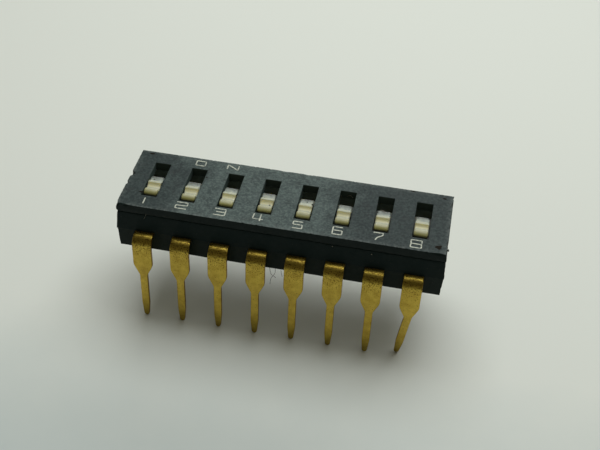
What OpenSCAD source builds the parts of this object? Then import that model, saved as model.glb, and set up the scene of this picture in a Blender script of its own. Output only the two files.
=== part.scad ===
// Eight-way slide switch in a dual in-line package.
// Two moulded halves hold eight cells. In each cell a slider carries a sprung
// bridge over two flat contacts, whose outer ends are the formed leads.
// X runs along the rows, +Y points to the ON side, and Z = 0 is the plane
// of the lead tips.

/* [Switch] */
// Number of switch positions
positions = 8; // [2:1:12]
// Distance between neighbouring leads along a row
pitch = 2.54; // [2.3:0.01:3]
// Distance between the two rows of lead tips, centre to centre
row_spacing = 7.62; // [7.5:0.01:10.2]
// Travel of a slider from OFF to ON
travel = 1.1; // [0.9:0.05:1.3]

/* [Housing] */
// Height of the base below its parting line
floor_h = 1.55; // [1.2:0.05:2]
// Height of the base above its parting line
cell_h = 1.45; // [1.35:0.05:1.9]
// Thickness of the cover plate
cover_t = 0.6; // [0.45:0.05:0.8]
// Thickness of the long side walls at the joint with the cover
wall_t = 0.71; // [0.6:0.01:0.8]
// Thickness of the end walls at the joint with the cover
end_wall_t = 0.79; // [0.6:0.01:1.5]
// Thickness of the partition between two cells
partition_t = 0.56; // [0.4:0.02:0.8]
// Outward flare of each wall from the joint down to the parting line
flare = 0.105; // [0.05:0.005:0.14]
// Set-back of the lower mould half at the parting line
parting_step = 0.04; // [0.02:0.01:0.06]
// Inward draft of each wall from the parting line to the underside
lower_draft = 0.065; // [0.03:0.005:0.12]
// Overhang of the cover past the base all round
cover_lip = 0.04; // [0.02:0.01:0.06]
// Inward draft of each side of the cover
cover_draft = 0.02; // [0.01:0.005:0.05]
// Size of the chamfer round the top of the base, under the cover
joint_chamfer = 0.1; // [0.03:0.01:0.12]
// Width of the rebate round the cells that takes the cover's tongue
rebate_w = 0.3; // [0.2:0.02:0.4]
// Height of the cover's tongue
tongue_h = 0.25; // [0.15:0.05:0.35]
// Diameter of the holes left by the pins that held the contacts in the mould
support_hole_d = 0.7; // [0.4:0.05:0.8]

/* [Sliders] */
// Width of a slot in the cover
slot_w = 1.07; // [0.9:0.01:1.2]
// Length of a knob along its travel
knob_l = 1.95; // [1.8:0.05:2.1]
// Offset of a knob towards ON from the middle of its plate
knob_shift = 0.06; // [0:0.01:0.1]
// Gap between knob and slot at the OFF end of the travel
off_gap = 0.235; // [0.1:0.005:0.3]
// Gap between knob and slot at the ON end of the travel
on_gap = 0.175; // [0.1:0.005:0.3]
// Gap between knob and slot on each side
knob_side_gap = 0.075; // [0.05:0.005:0.1]
// Height of the knob's ridges above the cover
knob_rise = 0.05; // [0:0.01:0.2]
// Depth of the finger groove between the ridges
groove_depth = 0.22; // [0.08:0.01:0.27]
// Radius of the finger groove
groove_r = 0.32; // [0.3:0.01:0.36]
// Distance from the knob's front to the middle of its groove
groove_y = 0.8; // [0.7:0.01:0.9]
// Radius of the knob's rounded front
knob_front_r = 0.45; // [0.2:0.01:0.5]
// Length of the low step behind the rear ridge
knob_step_l = 0.65; // [0.3:0.01:0.7]
// Drop of that step below the ridges
knob_step_h = 0.17; // [0.05:0.01:0.2]
// How far the slider's plate reaches past the knob at each end
plate_lap = 0.6; // [0.4:0.05:0.7]
// Thickness of the slider's plate
plate_t = 0.75; // [0.5:0.05:0.85]
// Width of the two runners under the slider's plate
runner_w = 0.28; // [0.2:0.02:0.4]

/* [Contacts] */
// Thickness of the contact sheet
sheet_t = 0.25; // [0.2:0.01:0.3]
// Width of a contact from its pad to the shoulders of its lead
lead_w = 1.29; // [1:0.01:1.4]
// Width of the pin below the shoulders
pin_w = 0.52; // [0.4:0.01:0.6]
// Width of the pin's tip
tip_w = 0.36; // [0.2:0.01:0.4]
// Height of a contact's top face above the lead tips
lead_drop = 6.9; // [6:0.05:8]
// Height of the shoulders above the lead tips
shoulder_h = 4.62; // [4:0.02:5]
// Height of the slope from a shoulder in to the pin
taper_h = 0.86; // [0.6:0.02:1.2]
// Length of the tapered end of the pin
tip_h = 1.1; // [0.5:0.05:1.5]
// Radius of the rounded shoulders
shoulder_r = 0.9; // [0.3:0.05:1]
// Radius of the hollow corners between shoulder slope and pin
neck_r = 0.5; // [0.2:0.05:0.8]
// Inner radius of the bend beside the housing
bend_r = 0.45; // [0.25:0.01:0.5]
// Outward lean of the legs in degrees
lean = 1.1; // [0.5:0.1:1.5]
// Radius of the two notches that lock a contact in its wall
notch_r = 0.16; // [0.1:0.01:0.2]
// Insulating gap between the two contacts of a cell
contact_gap = 0.4; // [0.3:0.05:0.6]
// Distance from the middle of a bridge to each of its contact points
bridge_reach = 0.9; // [0.75:0.05:1]
// Width of a bridge
bridge_w = 0.9; // [0.6:0.05:1]
// Thickness of a bridge's spring strip
bridge_t = 0.1; // [0.08:0.01:0.12]
// Length of a bridge's flat middle
bridge_flat = 0.6; // [0.5:0.05:0.7]
// Radius of a bridge's rounded contact point
point_r = 0.12; // [0.08:0.01:0.15]
// Diameter of the peg that holds a bridge to its slider
peg_d = 0.28; // [0.2:0.02:0.34]
// Diameter of the peg's riveted head
peg_head_d = 0.4; // [0.36:0.02:0.46]
// Height of the peg's riveted head
peg_head_h = 0.06; // [0.04:0.01:0.1]
// Position whose front pin is bent sideways
bent_position = 8; // [1:1:12]
// Sideways bend of that pin towards position 1, in degrees
bent_angle = 6.6; // [0:0.1:10]
// Bend of that pin in under the housing, in degrees
bent_inward = 5; // [0:0.1:8]

/* [Fits] */
// Clearance of a slider in its cell, on each side and at each stop
cell_clear = 0.04; // [0.02:0.01:0.06]
// Clearance between a slider's plate and the cover
lid_clear = 0.05; // [0.03:0.01:0.08]
// Clearance of runners and contact points above the cell floor
floor_clear = 0.03; // [0.02:0.01:0.05]
// Clearance round the cover's tongue and round a bridge's peg
fit_clear = 0.02; // [0.01:0.01:0.04]

/* [Hidden] */
$fn = 32;
eps = 0.01;
corner_steps = 4;

parting_z = lead_drop;
underside_z = parting_z - floor_h;
joint_z = parting_z + cell_h;
top_z = joint_z + cover_t;

plate_l = knob_l + 2 * plate_lap;
cell_l = plate_l + travel + 2 * cell_clear;
cell_w = pitch - partition_t;
cells_l = positions * pitch - partition_t;
body_l = cells_l + 2 * end_wall_t;
body_w = cell_l + 2 * wall_t;

plate_w = cell_w - 2 * cell_clear;
knob_w = slot_w - 2 * knob_side_gap;
plate_top_z = joint_z - lid_clear;
plate_z = plate_top_z - plate_t;
ridge_z = top_z + knob_rise;
rest_y = -travel / 2;
knob_y = rest_y + knob_shift;
slot_front_y = knob_y - knob_l / 2 - off_gap;
slot_back_y = knob_y + knob_l / 2 + travel + on_gap;
slot_l = slot_back_y - slot_front_y;

neck_z = shoulder_h - taper_h;
bend_outer_r = bend_r + sheet_t;
bend_mid_r = bend_r + sheet_t / 2;
bend_z = parting_z - bend_outer_r;
leg_l = (bend_z + bend_mid_r * sin(lean)) / cos(lean);
bend_y = row_spacing / 2 - bend_mid_r * cos(lean) - leg_l * sin(lean);
neck_run = (bend_z + bend_mid_r * sin(lean) - neck_z) / cos(lean);
front_pad_y = contact_gap / 2 - bridge_reach;
back_pad_y = contact_gap / 2 + bridge_reach;

FRONT = [for (i = [1:positions]) str("terminal_front_", i)];
BACK = [for (i = [1:positions]) str("terminal_back_", i)];
SLIDERS = [for (i = [1:positions]) str("slider_", i)];
BRIDGES = [for (i = [1:positions]) str("bridge_", i)];

function station_x(i) = (i - (positions + 1) / 2) * pitch;
function unit(v) = v / norm(v);

// The points of an arc of radius r that rounds the corner at b between a and c.
function rounded(a, b, c, r) =
    let (
        to_a = unit(a - b),
        to_c = unit(c - b),
        half = acos(to_a * to_c) / 2,
        centre = b + unit(to_a + to_c) * r / sin(half),
        first = b + to_a * r / tan(half) - centre,
        last = b + to_c * r / tan(half) - centre,
        turn = 180 - 2 * half
    )
    [for (k = [0:corner_steps])
        let (part = k * turn / corner_steps)
        centre + (first * sin(turn - part) + last * sin(part)) / sin(turn)];

// A block with the outline long_side seen along Y and end_side seen along X.
module drafted_block(half_l, half_w, levels) {
    intersection() {
        rotate([90, 0, 0])
            linear_extrude(3 * half_w, center = true)
                side_outline(half_l, levels);
        rotate([90, 0, 90])
            linear_extrude(3 * half_l, center = true)
                side_outline(half_w, levels);
    }
}

// A symmetric outline whose half width is half + level[0] at height level[1].
module side_outline(half, levels) {
    polygon(concat(
        [for (level = levels) [half + level[0], level[1]]],
        [for (k = [len(levels) - 1:-1:0]) [-half - levels[k][0], levels[k][1]]]
    ));
}

module box_at(size_x, size_y, low_z, high_z) {
    translate([-size_x / 2, -size_y / 2, low_z])
        cube([size_x, size_y, high_z - low_z]);
}

module ring(inner_grow, outer_grow, low_z, high_z) {
    difference() {
        box_at(cells_l + 2 * outer_grow, cell_l + 2 * outer_grow, low_z, high_z);
        box_at(cells_l + 2 * inner_grow, cell_l + 2 * inner_grow, low_z - eps, high_z + eps);
    }
}

// ---- Housing ----

module base() {
    color([0.07, 0.08, 0.08])
    difference() {
        drafted_block(body_l / 2, body_w / 2, [
            [flare - parting_step - lower_draft, underside_z],
            [flare - parting_step, parting_z],
            [flare, parting_z],
            [0, joint_z - joint_chamfer],
            [-joint_chamfer, joint_z]
        ]);
        for (i = [1:positions]) {
            translate([station_x(i), 0, 0]) {
                box_at(cell_w, cell_l, parting_z, joint_z + eps);
                contact_strip(back_pad_y);
                support_hole();
                rotate([0, 0, 180]) {
                    contact_strip(front_pad_y);
                    support_hole();
                }
            }
        }
        ring(-eps, rebate_w, joint_z - tongue_h - fit_clear, joint_z + eps);
    }
}

// A round hole under a contact, up to the sheet, where a mould pin held it.
module support_hole() {
    translate([0, cell_l / 2 - support_hole_d / 2, underside_z - eps])
        cylinder(d = support_hole_d, h = parting_z - sheet_t - underside_z + eps);
}

module cover() {
    color([0.2, 0.22, 0.22])
    union() {
        difference() {
            drafted_block(body_l / 2, body_w / 2, [
                [cover_lip, joint_z],
                [cover_lip - cover_draft, top_z]
            ]);
            for (i = [1:positions])
                translate([station_x(i), (slot_front_y + slot_back_y) / 2, 0])
                    box_at(slot_w, slot_l, joint_z - eps, top_z + eps);
            edge_chips();
        }
        ring(fit_clear, rebate_w - fit_clear, joint_z - tongue_h, joint_z + eps);
    }
}

// Small breaks in the top edge: [share of half length, share of half width,
// size along the edge, size across, depth, turn].
CHIPS = [
    [-1, 0.1, 0.42, 0.42, 0.34, 45],
    [-1, -0.24, 0.22, 0.24, 0.2, 38],
    [-0.97, -1, 1.1, 0.16, 0.14, -3],
    [-1, -1, 0.3, 0.3, 0.25, 30],
    [0.955, -1, 0.7, 0.12, 0.1, 4],
    [0.08, 1, 0.5, 0.1, 0.1, 5]
];

module edge_chips() {
    for (chip = CHIPS)
        translate([chip[0] * (body_l / 2 + cover_lip), chip[1] * (body_w / 2 + cover_lip), top_z])
            rotate([chip[5] / 3, chip[5] / 4, chip[5]])
                cube([chip[2], chip[3], 2 * chip[4]], center = true);
}

// ---- Contacts ----

// The flat part of a contact, from its pad in the cell out through the wall.
module contact_strip(pad_y) {
    translate([0, 0, parting_z - sheet_t])
        linear_extrude(sheet_t)
            difference() {
                translate([-lead_w / 2, pad_y])
                    square([lead_w, bend_y - pad_y]);
                lock_notches();
            }
}

// The two notches of a contact, in the middle of the wall that holds it.
module lock_notches() {
    for (side = [-1, 1])
        translate([side * lead_w / 2, (cell_l + wall_t) / 2])
            circle(r = notch_r);
}

// The bent strip seen from the end of the row. The leg runs past the tip here,
// and turns inward at its neck if the pin is bent that way.
module strip_profile(pad_y, inward) {
    translate([pad_y, parting_z - sheet_t])
        square([bend_y - pad_y, sheet_t]);
    translate([bend_y, bend_z]) {
        intersection() {
            difference() {
                circle(r = bend_outer_r);
                circle(r = bend_r);
            }
            polygon(2 * bend_outer_r * [[0, 0], [cos(lean), sin(lean)], [1, 1], [0, 1]]);
        }
        rotate(lean) {
            if (inward == 0) {
                translate([bend_r, -leg_l - sheet_t])
                    square([sheet_t, leg_l + sheet_t]);
            } else {
                translate([bend_r, -neck_run])
                    square([sheet_t, neck_run]);
                translate([bend_mid_r, -neck_run]) {
                    circle(d = sheet_t);
                    rotate(-inward)
                        translate([-sheet_t / 2, neck_run - leg_l - sheet_t])
                            square([sheet_t, leg_l + sheet_t - neck_run]);
                }
            }
        }
    }
}

// The lead seen from in front: full width, rounded shoulders, then the pin.
module lead_outline(bend) {
    top = [lead_w / 2, parting_z + eps];
    shoulder = [lead_w / 2, shoulder_h];
    neck = [pin_w / 2, neck_z];
    foot = [pin_w / 2, 0];
    right_side = concat(
        rounded(foot, neck, shoulder, neck_r),
        rounded(neck, shoulder, top, shoulder_r),
        [top]
    );
    left_side = [for (k = [len(right_side) - 1:-1:0]) [-right_side[k][0], right_side[k][1]]];
    polygon(concat(right_side, left_side));
    translate([0, neck_z])
        rotate(bend)
            pin_outline(neck_z);
}

// The pin below the shoulders, from the neck at 0 to a round tip.
module pin_outline(pin_l) {
    polygon([
        [-pin_w / 2, 0], [-pin_w / 2, tip_h - pin_l],
        [-tip_w / 2, tip_w / 2 - pin_l], [tip_w / 2, tip_w / 2 - pin_l],
        [pin_w / 2, tip_h - pin_l], [pin_w / 2, 0]
    ]);
    circle(d = pin_w);
    translate([0, tip_w / 2 - pin_l])
        circle(d = tip_w);
}

// One contact with its lead, pointing along +Y from the middle of the cell.
module terminal(pad_y, bend = 0, inward = 0) {
    color([0.78, 0.62, 0.25])
    difference() {
        intersection() {
            rotate([90, 0, 90])
                linear_extrude(2 * lead_w, center = true)
                    strip_profile(pad_y, inward);
            rotate([90, 0, 0])
                linear_extrude(2 * row_spacing, center = true)
                    lead_outline(bend);
        }
        translate([0, 0, parting_z - 2 * sheet_t])
            linear_extrude(3 * sheet_t)
                lock_notches();
    }
}

module terminal_back(i) {
    translate([station_x(i), 0, 0])
        terminal(back_pad_y);
}

module terminal_front(i) {
    translate([station_x(i), 0, 0])
        rotate([0, 0, 180])
            if (i == bent_position)
                terminal(front_pad_y, bent_angle, bent_inward);
            else
                terminal(front_pad_y);
}

// ---- Sliders ----

// The knob seen from the end of the row, from the underside of its plate up:
// +X of this outline is the ON side.
module knob_outline() {
    ridge = ridge_z - plate_z;
    flat_start = knob_front_r - knob_l / 2;
    flat_end = knob_l / 2 - knob_step_l;
    difference() {
        union() {
            translate([flat_start, 0])
                square([flat_end - flat_start, ridge]);
            translate([-knob_l / 2, 0])
                square([knob_l, ridge - knob_front_r]);
            translate([flat_start, ridge - knob_front_r])
                circle(r = knob_front_r);
            translate([flat_start, 0])
                square([knob_l - knob_front_r, ridge - knob_step_h]);
        }
        translate([groove_y - knob_l / 2, ridge + groove_r - groove_depth])
            circle(r = groove_r);
    }
}

module slider(i) {
    peg_z = plate_z - bridge_t - fit_clear;
    color([0.86, 0.84, 0.72])
    translate([station_x(i), rest_y, 0])
        union() {
            box_at(plate_w, plate_l, plate_z, plate_top_z);
            translate([-knob_w / 2, knob_shift, plate_z])
                rotate([90, 0, 90])
                    linear_extrude(knob_w)
                        knob_outline();
            for (side = [-1, 1])
                translate([side * (plate_w - runner_w) / 2, 0, 0])
                    box_at(runner_w, plate_l, parting_z + floor_clear, plate_z + plate_t / 2);
            translate([0, 0, peg_z - peg_head_h]) {
                cylinder(d = peg_d, h = plate_z + plate_t / 2 - peg_z);
                cylinder(d = peg_head_d, h = peg_head_h);
            }
        }
}

// ---- Bridges ----

// The sprung strip seen from the end of the row, hanging from its flat at 0.
module bridge_outline() {
    drop = plate_z - parting_z - floor_clear - point_r - bridge_t / 2;
    run = bridge_reach - bridge_flat / 2;
    translate([-bridge_flat / 2, -bridge_t])
        square([bridge_flat, bridge_t]);
    for (side = [-1, 1]) {
        translate([side * bridge_flat / 2, -bridge_t / 2])
            rotate(-side * atan2(drop, run))
                translate([side > 0 ? 0 : -norm([drop, run]), -bridge_t / 2])
                    square([norm([drop, run]), bridge_t]);
        translate([side * bridge_flat / 2, -bridge_t / 2])
            circle(d = bridge_t);
        translate([side * bridge_reach, -drop - bridge_t / 2])
            circle(r = point_r);
    }
}

module bridge(i) {
    color([0.8, 0.66, 0.3])
    translate([station_x(i), rest_y, plate_z])
        difference() {
            translate([-bridge_w / 2, 0, 0])
                rotate([90, 0, 90])
                    linear_extrude(bridge_w)
                        bridge_outline();
            translate([0, 0, -2 * bridge_t])
                cylinder(d = peg_d + 2 * fit_clear, h = 3 * bridge_t);
        }
}

base();
cover();
for (i = [1:positions]) {
    terminal_front(i);
    terminal_back(i);
    slider(i);
    bridge(i);
}
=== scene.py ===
"""Looks of an eight-way slide switch, dressed round its CAD frame.

Every shape here is worked out in millimetres and put into a mesh in metres.
X runs along the rows, +Y is the ON side, and Z is up from the lead tips.
"""

from __future__ import annotations

import logging
import math
from dataclasses import dataclass, field
from enum import Enum

import bpy
import numpy as np
from mathutils import Matrix, Vector


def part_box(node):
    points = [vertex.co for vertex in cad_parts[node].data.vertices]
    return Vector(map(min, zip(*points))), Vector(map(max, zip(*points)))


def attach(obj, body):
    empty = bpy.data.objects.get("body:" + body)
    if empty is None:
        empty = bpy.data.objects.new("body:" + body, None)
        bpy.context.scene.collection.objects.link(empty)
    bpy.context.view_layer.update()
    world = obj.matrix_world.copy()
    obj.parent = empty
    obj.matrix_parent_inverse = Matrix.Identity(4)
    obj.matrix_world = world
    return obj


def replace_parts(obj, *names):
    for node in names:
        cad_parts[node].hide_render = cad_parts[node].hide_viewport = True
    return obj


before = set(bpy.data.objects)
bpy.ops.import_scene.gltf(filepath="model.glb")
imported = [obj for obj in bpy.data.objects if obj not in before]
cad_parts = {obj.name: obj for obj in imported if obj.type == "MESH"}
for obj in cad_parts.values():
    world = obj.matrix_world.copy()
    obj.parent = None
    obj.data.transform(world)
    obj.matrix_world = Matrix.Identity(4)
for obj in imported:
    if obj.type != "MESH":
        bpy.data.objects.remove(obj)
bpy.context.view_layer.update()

MM = 0.001
HOUSING = "housing"
POSITIONS = 8
OVERLAP = 0.01  # how far one shell of a piece reaches into the next
SQUARE = np.array([[-1, -1], [1, -1], [1, 1], [-1, 1]])
log = logging.getLogger("switch")

Material = bpy.types.Material
Node = bpy.types.Node
Piece = bpy.types.Object
Socket = bpy.types.NodeSocket
Faces = list[np.ndarray]
Shell = tuple[np.ndarray, Faces]


class Row(Enum):
    """The two rows of leads: FRONT lies on the OFF side, BACK on the ON side."""

    FRONT = -1
    BACK = 1


class Side(Enum):
    """The four sides of the cover, with the direction that each one faces."""

    LEFT = (-1, 0)
    RIGHT = (1, 0)
    FRONT = (0, -1)
    BACK = (0, 1)

    @property
    def seed(self) -> int:
        """The side's own number, from which its waves are drawn."""
        return list(Side).index(self)


# ---- Frame and mesh helpers ----


def node_box(node: str) -> tuple[np.ndarray, np.ndarray]:
    """The lowest and highest corner of a CAD node, in millimetres.

    Args:
        node: Name of the node.

    Returns:
        The two corners, as arrays of three numbers.
    """
    low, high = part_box(node)
    return np.array(low) / MM, np.array(high) / MM


def station_x(position: int) -> float:
    """The X of a position's middle, from the box of its slider."""
    low, high = node_box(f"slider_{position}")
    return float(low[0] + high[0]) / 2


def all_stations() -> np.ndarray:
    """The X of every position's middle, from left to right."""
    return np.array([station_x(position) for position in range(1, POSITIONS + 1)])


def make_piece(
    name: str,
    points: np.ndarray,
    faces: Faces,
    material: Material,
    body: str,
    slot: str | None = None,
    crease: float = 40.0,
) -> Piece:
    """Puts points and faces into a new piece that rides on a body.

    Args:
        name: Name of the piece.
        points: Array of shape (n, 3), in millimetres.
        faces: Arrays of corner indices, one array for each number of corners.
        material: Finish of the piece.
        body: CAD body that carries it.
        slot: The record's material slot, if it has one. It is not used.
        crease: Angle in degrees past which an edge stays sharp.

    Returns:
        The new object.
    """
    mesh = bpy.data.meshes.new(name)
    corners = [row for part in faces for row in part.tolist()]
    mesh.from_pydata((points * MM).tolist(), [], corners)
    mesh.polygons.foreach_set("use_smooth", np.ones(len(mesh.polygons), bool))
    mesh.set_sharp_from_angle(angle=math.radians(crease))
    mesh.materials.append(material)
    mesh.update()
    piece = bpy.data.objects.new(name, mesh)
    bpy.context.scene.collection.objects.link(piece)
    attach(piece, body)
    return piece


def add_attribute(piece: Piece, name: str, values: np.ndarray) -> None:
    """Stores one number for each vertex of a piece, for its material to read."""
    attribute = piece.data.attributes.new(name, "FLOAT", "POINT")
    attribute.data.foreach_set("value", values.astype(np.float32))


def join_parts(parts: list[Shell]) -> Shell:
    """Joins several closed shells into one mesh.

    Args:
        parts: Points and faces of each shell.

    Returns:
        All the points, and all the faces with their corners renumbered.
    """
    points: list[np.ndarray] = []
    faces: Faces = []
    start = 0
    for part_points, part_faces in parts:
        points.append(part_points)
        faces += [part + start for part in part_faces]
        start += len(part_points)
    return np.concatenate(points), faces


def carry_rings(rings: np.ndarray, closed_path: bool = False) -> Shell:
    """A skin over rings of points: quads join each ring to the next.

    Point (i, j) of the grid is point j of ring i. The rings run round the
    path's own direction, so that the faces point outwards. An open path gets a
    flat cap at each end.

    Args:
        rings: Array of shape (rings, points, 3).
        closed_path: True where the last ring joins the first.

    Returns:
        The points, and the faces by number of corners.
    """
    count, around = rings.shape[:2]
    index = np.arange(count * around).reshape(count, around)
    ahead = np.roll(index, -1, 0) if closed_path else index[1:]
    here = index if closed_path else index[:-1]
    quads = np.stack([here, np.roll(here, -1, 1), np.roll(ahead, -1, 1), ahead], -1)
    faces: Faces = [quads.reshape(-1, 4)]
    if not closed_path:
        faces += [index[:1, ::-1], index[-1:]]
    return rings.reshape(-1, 3), faces


def carry_section(
    line: np.ndarray, side: np.ndarray, section: tuple[tuple[float, float], ...], closed: bool
) -> Shell:
    """A section carried along a level line.

    Its corner (offset, z) runs along line + offset * side, at height z.

    Args:
        line: Points (x, y) of the line.
        side: Direction (x, y) across the line, for each point.
        section: Corners of the section, clockwise seen along the line.
        closed: True where the last point joins the first.

    Returns:
        The points and faces.
    """
    rings = np.stack([
        np.column_stack([line + offset * side, np.full(len(line), z)]) for offset, z in section
    ], 1)
    return carry_rings(rings, closed)


def round_off(line: np.ndarray, step: float, reach: float, closed: bool) -> np.ndarray:
    """A polyline walked in even steps, with its corners eased.

    Each point becomes the mean of its neighbours, weighted by a bell curve
    exp(-(d / reach)^2), where d is the distance along the line. An open line is
    continued past its ends by turning it about them, so the ends stay put.

    Args:
        line: Corners of the line, of shape (n, 2).
        step: Distance between points.
        reach: Width of the bell curve.
        closed: True where the last corner joins the first.

    Returns:
        The eased points, of shape (m, 2).
    """
    corners = np.vstack([line, line[:1]]) if closed else np.asarray(line, float)
    lengths = np.hypot(*np.diff(corners, axis=0).T)
    along = np.concatenate([[0.0], np.cumsum(lengths)])
    count = max(8, int(round(along[-1] / step)))
    walked = np.linspace(0, along[-1], count, endpoint=not closed)
    points = np.stack([np.interp(walked, along, corners[:, k]) for k in range(2)], -1)
    spacing = along[-1] / (count if closed else count - 1)
    span = min(int(3 * reach / spacing) + 1, count - 1)
    weights = np.exp(-((np.arange(-span, span + 1) * spacing / reach) ** 2))
    weights /= weights.sum()
    if closed:
        padded = np.vstack([points[-span:], points, points[:span]])
    else:
        before = 2 * points[0] - points[span:0:-1]
        after = 2 * points[-1] - points[-2:-span - 2:-1]
        padded = np.vstack([before, points, after])
    return np.stack([np.convolve(padded[:, k], weights, "valid") for k in range(2)], -1)


def right_of(ahead: np.ndarray) -> np.ndarray:
    """Unit vectors to the right of directions (x, y): (y, -x) over the length."""
    return np.stack([ahead[:, 1], -ahead[:, 0]], -1) / np.hypot(*ahead.T)[:, None]


def normals_of(line: np.ndarray, closed: bool) -> np.ndarray:
    """Unit normals to the right of a line, one for each of its points (x, y)."""
    neighbours = np.roll(line, -1, 0) - np.roll(line, 1, 0)
    return right_of(neighbours if closed else np.gradient(line, axis=0))


def either_side(middles: np.ndarray, reach: float) -> np.ndarray:
    """The places that lie a reach to the left and right of each middle, in order."""
    return np.sort(np.concatenate([middles - reach, middles + reach]))


def rounded_prism(
    outline: np.ndarray, half_width: float, radius: float, steps: int = 4
) -> Shell:
    """A closed outline in Y and Z, carried along X, with its two rims rounded.

    At angle a of a rim, the outline is drawn in by radius * (1 - sin a) and
    stands at half_width - radius * (1 - cos a).

    Args:
        outline: Points (y, z) that run anticlockwise seen from +X.
        half_width: Half of the width along X.
        radius: Radius of the rims.
        steps: Number of steps over each rim.

    Returns:
        The points and faces.
    """
    outward = normals_of(outline, True)
    angles = np.linspace(0, math.pi / 2, steps + 1)
    drawn_in = radius * (1 - np.sin(angles))
    places = half_width - radius * (1 - np.cos(angles))
    inset = np.concatenate([drawn_in, drawn_in[::-1]])
    x = np.concatenate([-places, places[::-1]])
    flat = outline[None] - inset[:, None, None] * outward[None]
    rings = np.concatenate([np.broadcast_to(x[:, None, None], flat.shape[:2] + (1,)), flat], -1)
    return carry_rings(rings)


def rounded_block(
    low: tuple[float, float, float], high: tuple[float, float, float], radius: float
) -> Shell:
    """A block with every edge rounded.

    Args:
        low: The block's lowest corner.
        high: Its highest corner.
        radius: Radius of the edges.

    Returns:
        The points and faces.
    """
    corners = np.array([[low[1], low[2]], [high[1], low[2]], [high[1], high[2]], [low[1], high[2]]])
    outline = round_off(corners, radius / 2, radius / 2, True)
    points, faces = rounded_prism(outline, (high[0] - low[0]) / 2, radius)
    return points + [(low[0] + high[0]) / 2, 0, 0], faces


def uneven(
    place: np.ndarray, wavelength: float, seed: int, down: np.ndarray | float = 0.0
) -> np.ndarray:
    """Uneven waves along a line, about -1 to 1, which drift slantwise down a side.

    The sum of seven sines of (place + slant * down), divided by the root of
    their number. Their wavelengths lie between half and twice the one given,
    and each has its own phase and its own slant of -0.8 to 0.8.

    Args:
        place: Distance along the line, in millimetres.
        wavelength: Middle wavelength, in millimetres.
        seed: Seed of the phases.
        down: Distance down the side, in millimetres.

    Returns:
        One number for each place.
    """
    sines, slant = 7, 0.8
    rng = np.random.default_rng(seed)
    waves = wavelength * 2.0 ** rng.uniform(-1, 1, sines)
    phases = rng.uniform(0, 2 * math.pi, sines)
    slants = rng.uniform(-slant, slant, sines)
    drifted = place[..., None] + slants * np.asarray(down)[..., None]
    return np.sin(drifted * 2 * math.pi / waves + phases).sum(-1) / math.sqrt(sines)


def crests(
    place: np.ndarray, wavelength: float, seed: int, lift: float,
    down: np.ndarray | float = 0.0,
) -> np.ndarray:
    """The crests of uneven waves, which are lifted and then held between 0 and 1."""
    return np.clip(uneven(place, wavelength, seed, down) + lift, 0, 1)


def ragged_end(along: np.ndarray, drop: np.ndarray | float) -> np.ndarray:
    """How far the housing's ragged right end is eaten away, at a depth below the top.

    The crests of waves about 0.6 mm long, times 0.065 mm.
    """
    return 0.065 * crests(along, 0.6, 61, -0.1, drop)


def rim_inset(drop: np.ndarray | float, radius: float) -> np.ndarray:
    """How far in a rounded rim lies, at a depth below the top.

    A quarter circle: radius * (1 - sqrt(1 - (1 - drop / radius)^2)).
    """
    rise = np.clip(1 - drop / radius, 0, 1)
    return radius * (1 - np.sqrt(1 - rise**2))


def grid_cells(xs: np.ndarray, ys: np.ndarray) -> tuple[np.ndarray, np.ndarray]:
    """A flat grid, and the corners of its cells.

    Args:
        xs: X of the grid's lines.
        ys: Y of the grid's lines.

    Returns:
        The points (x, y), and each cell's corners by number, anticlockwise seen
        from above, in an array of shape (cells along X, cells along Y, 4).
    """
    index = np.arange(len(xs) * len(ys)).reshape(len(xs), len(ys))
    corners = [index[:-1, :-1], index[1:, :-1], index[1:, 1:], index[:-1, 1:]]
    points = np.stack(np.meshgrid(xs, ys, indexing="ij"), -1).reshape(-1, 2)
    return points, np.stack(corners, -1)


def open_edges(faces: Faces, count: int) -> np.ndarray:
    """The edges that only one face uses, in that face's own direction.

    Args:
        faces: Arrays of corner indices, one array for each number of corners.
        count: Number of points.

    Returns:
        Array of shape (edges, 2).
    """
    edges = np.concatenate([
        np.stack([part, np.roll(part, -1, 1)], -1).reshape(-1, 2) for part in faces
    ])
    codes = edges[:, 0] * count + edges[:, 1]
    return edges[~np.isin(codes, edges[:, 1] * count + edges[:, 0])]


def thick_sheet(flat: np.ndarray, faces: Faces, low: float, high: float) -> Shell:
    """A flat sheet given thickness: a top, an underside, and walls round every edge.

    Args:
        flat: Points (x, y).
        faces: Faces that run anticlockwise seen from above.
        low: Height of the underside.
        high: Height of the top.

    Returns:
        The points and faces of one closed shell.
    """
    count = len(flat)
    rims = open_edges(faces, count)
    points = np.concatenate([np.column_stack([flat, np.full(count, z)]) for z in (high, low)])
    walls = np.stack([rims[:, 0] + count, rims[:, 1] + count, rims[:, 1], rims[:, 0]], -1)
    return points, [*faces, *(part[:, ::-1] + count for part in faces), walls]


# ---- Material helpers ----


def linear(hex_colour: str) -> tuple[float, float, float, float]:
    """The linear colour of an sRGB hex value such as "#C0FFEE"."""
    parts = [int(hex_colour[k:k + 2], 16) / 255 for k in (1, 3, 5)]
    curve = [p / 12.92 if p <= 0.04045 else ((p + 0.055) / 1.055) ** 2.4 for p in parts]
    return (*curve, 1.0)


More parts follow.
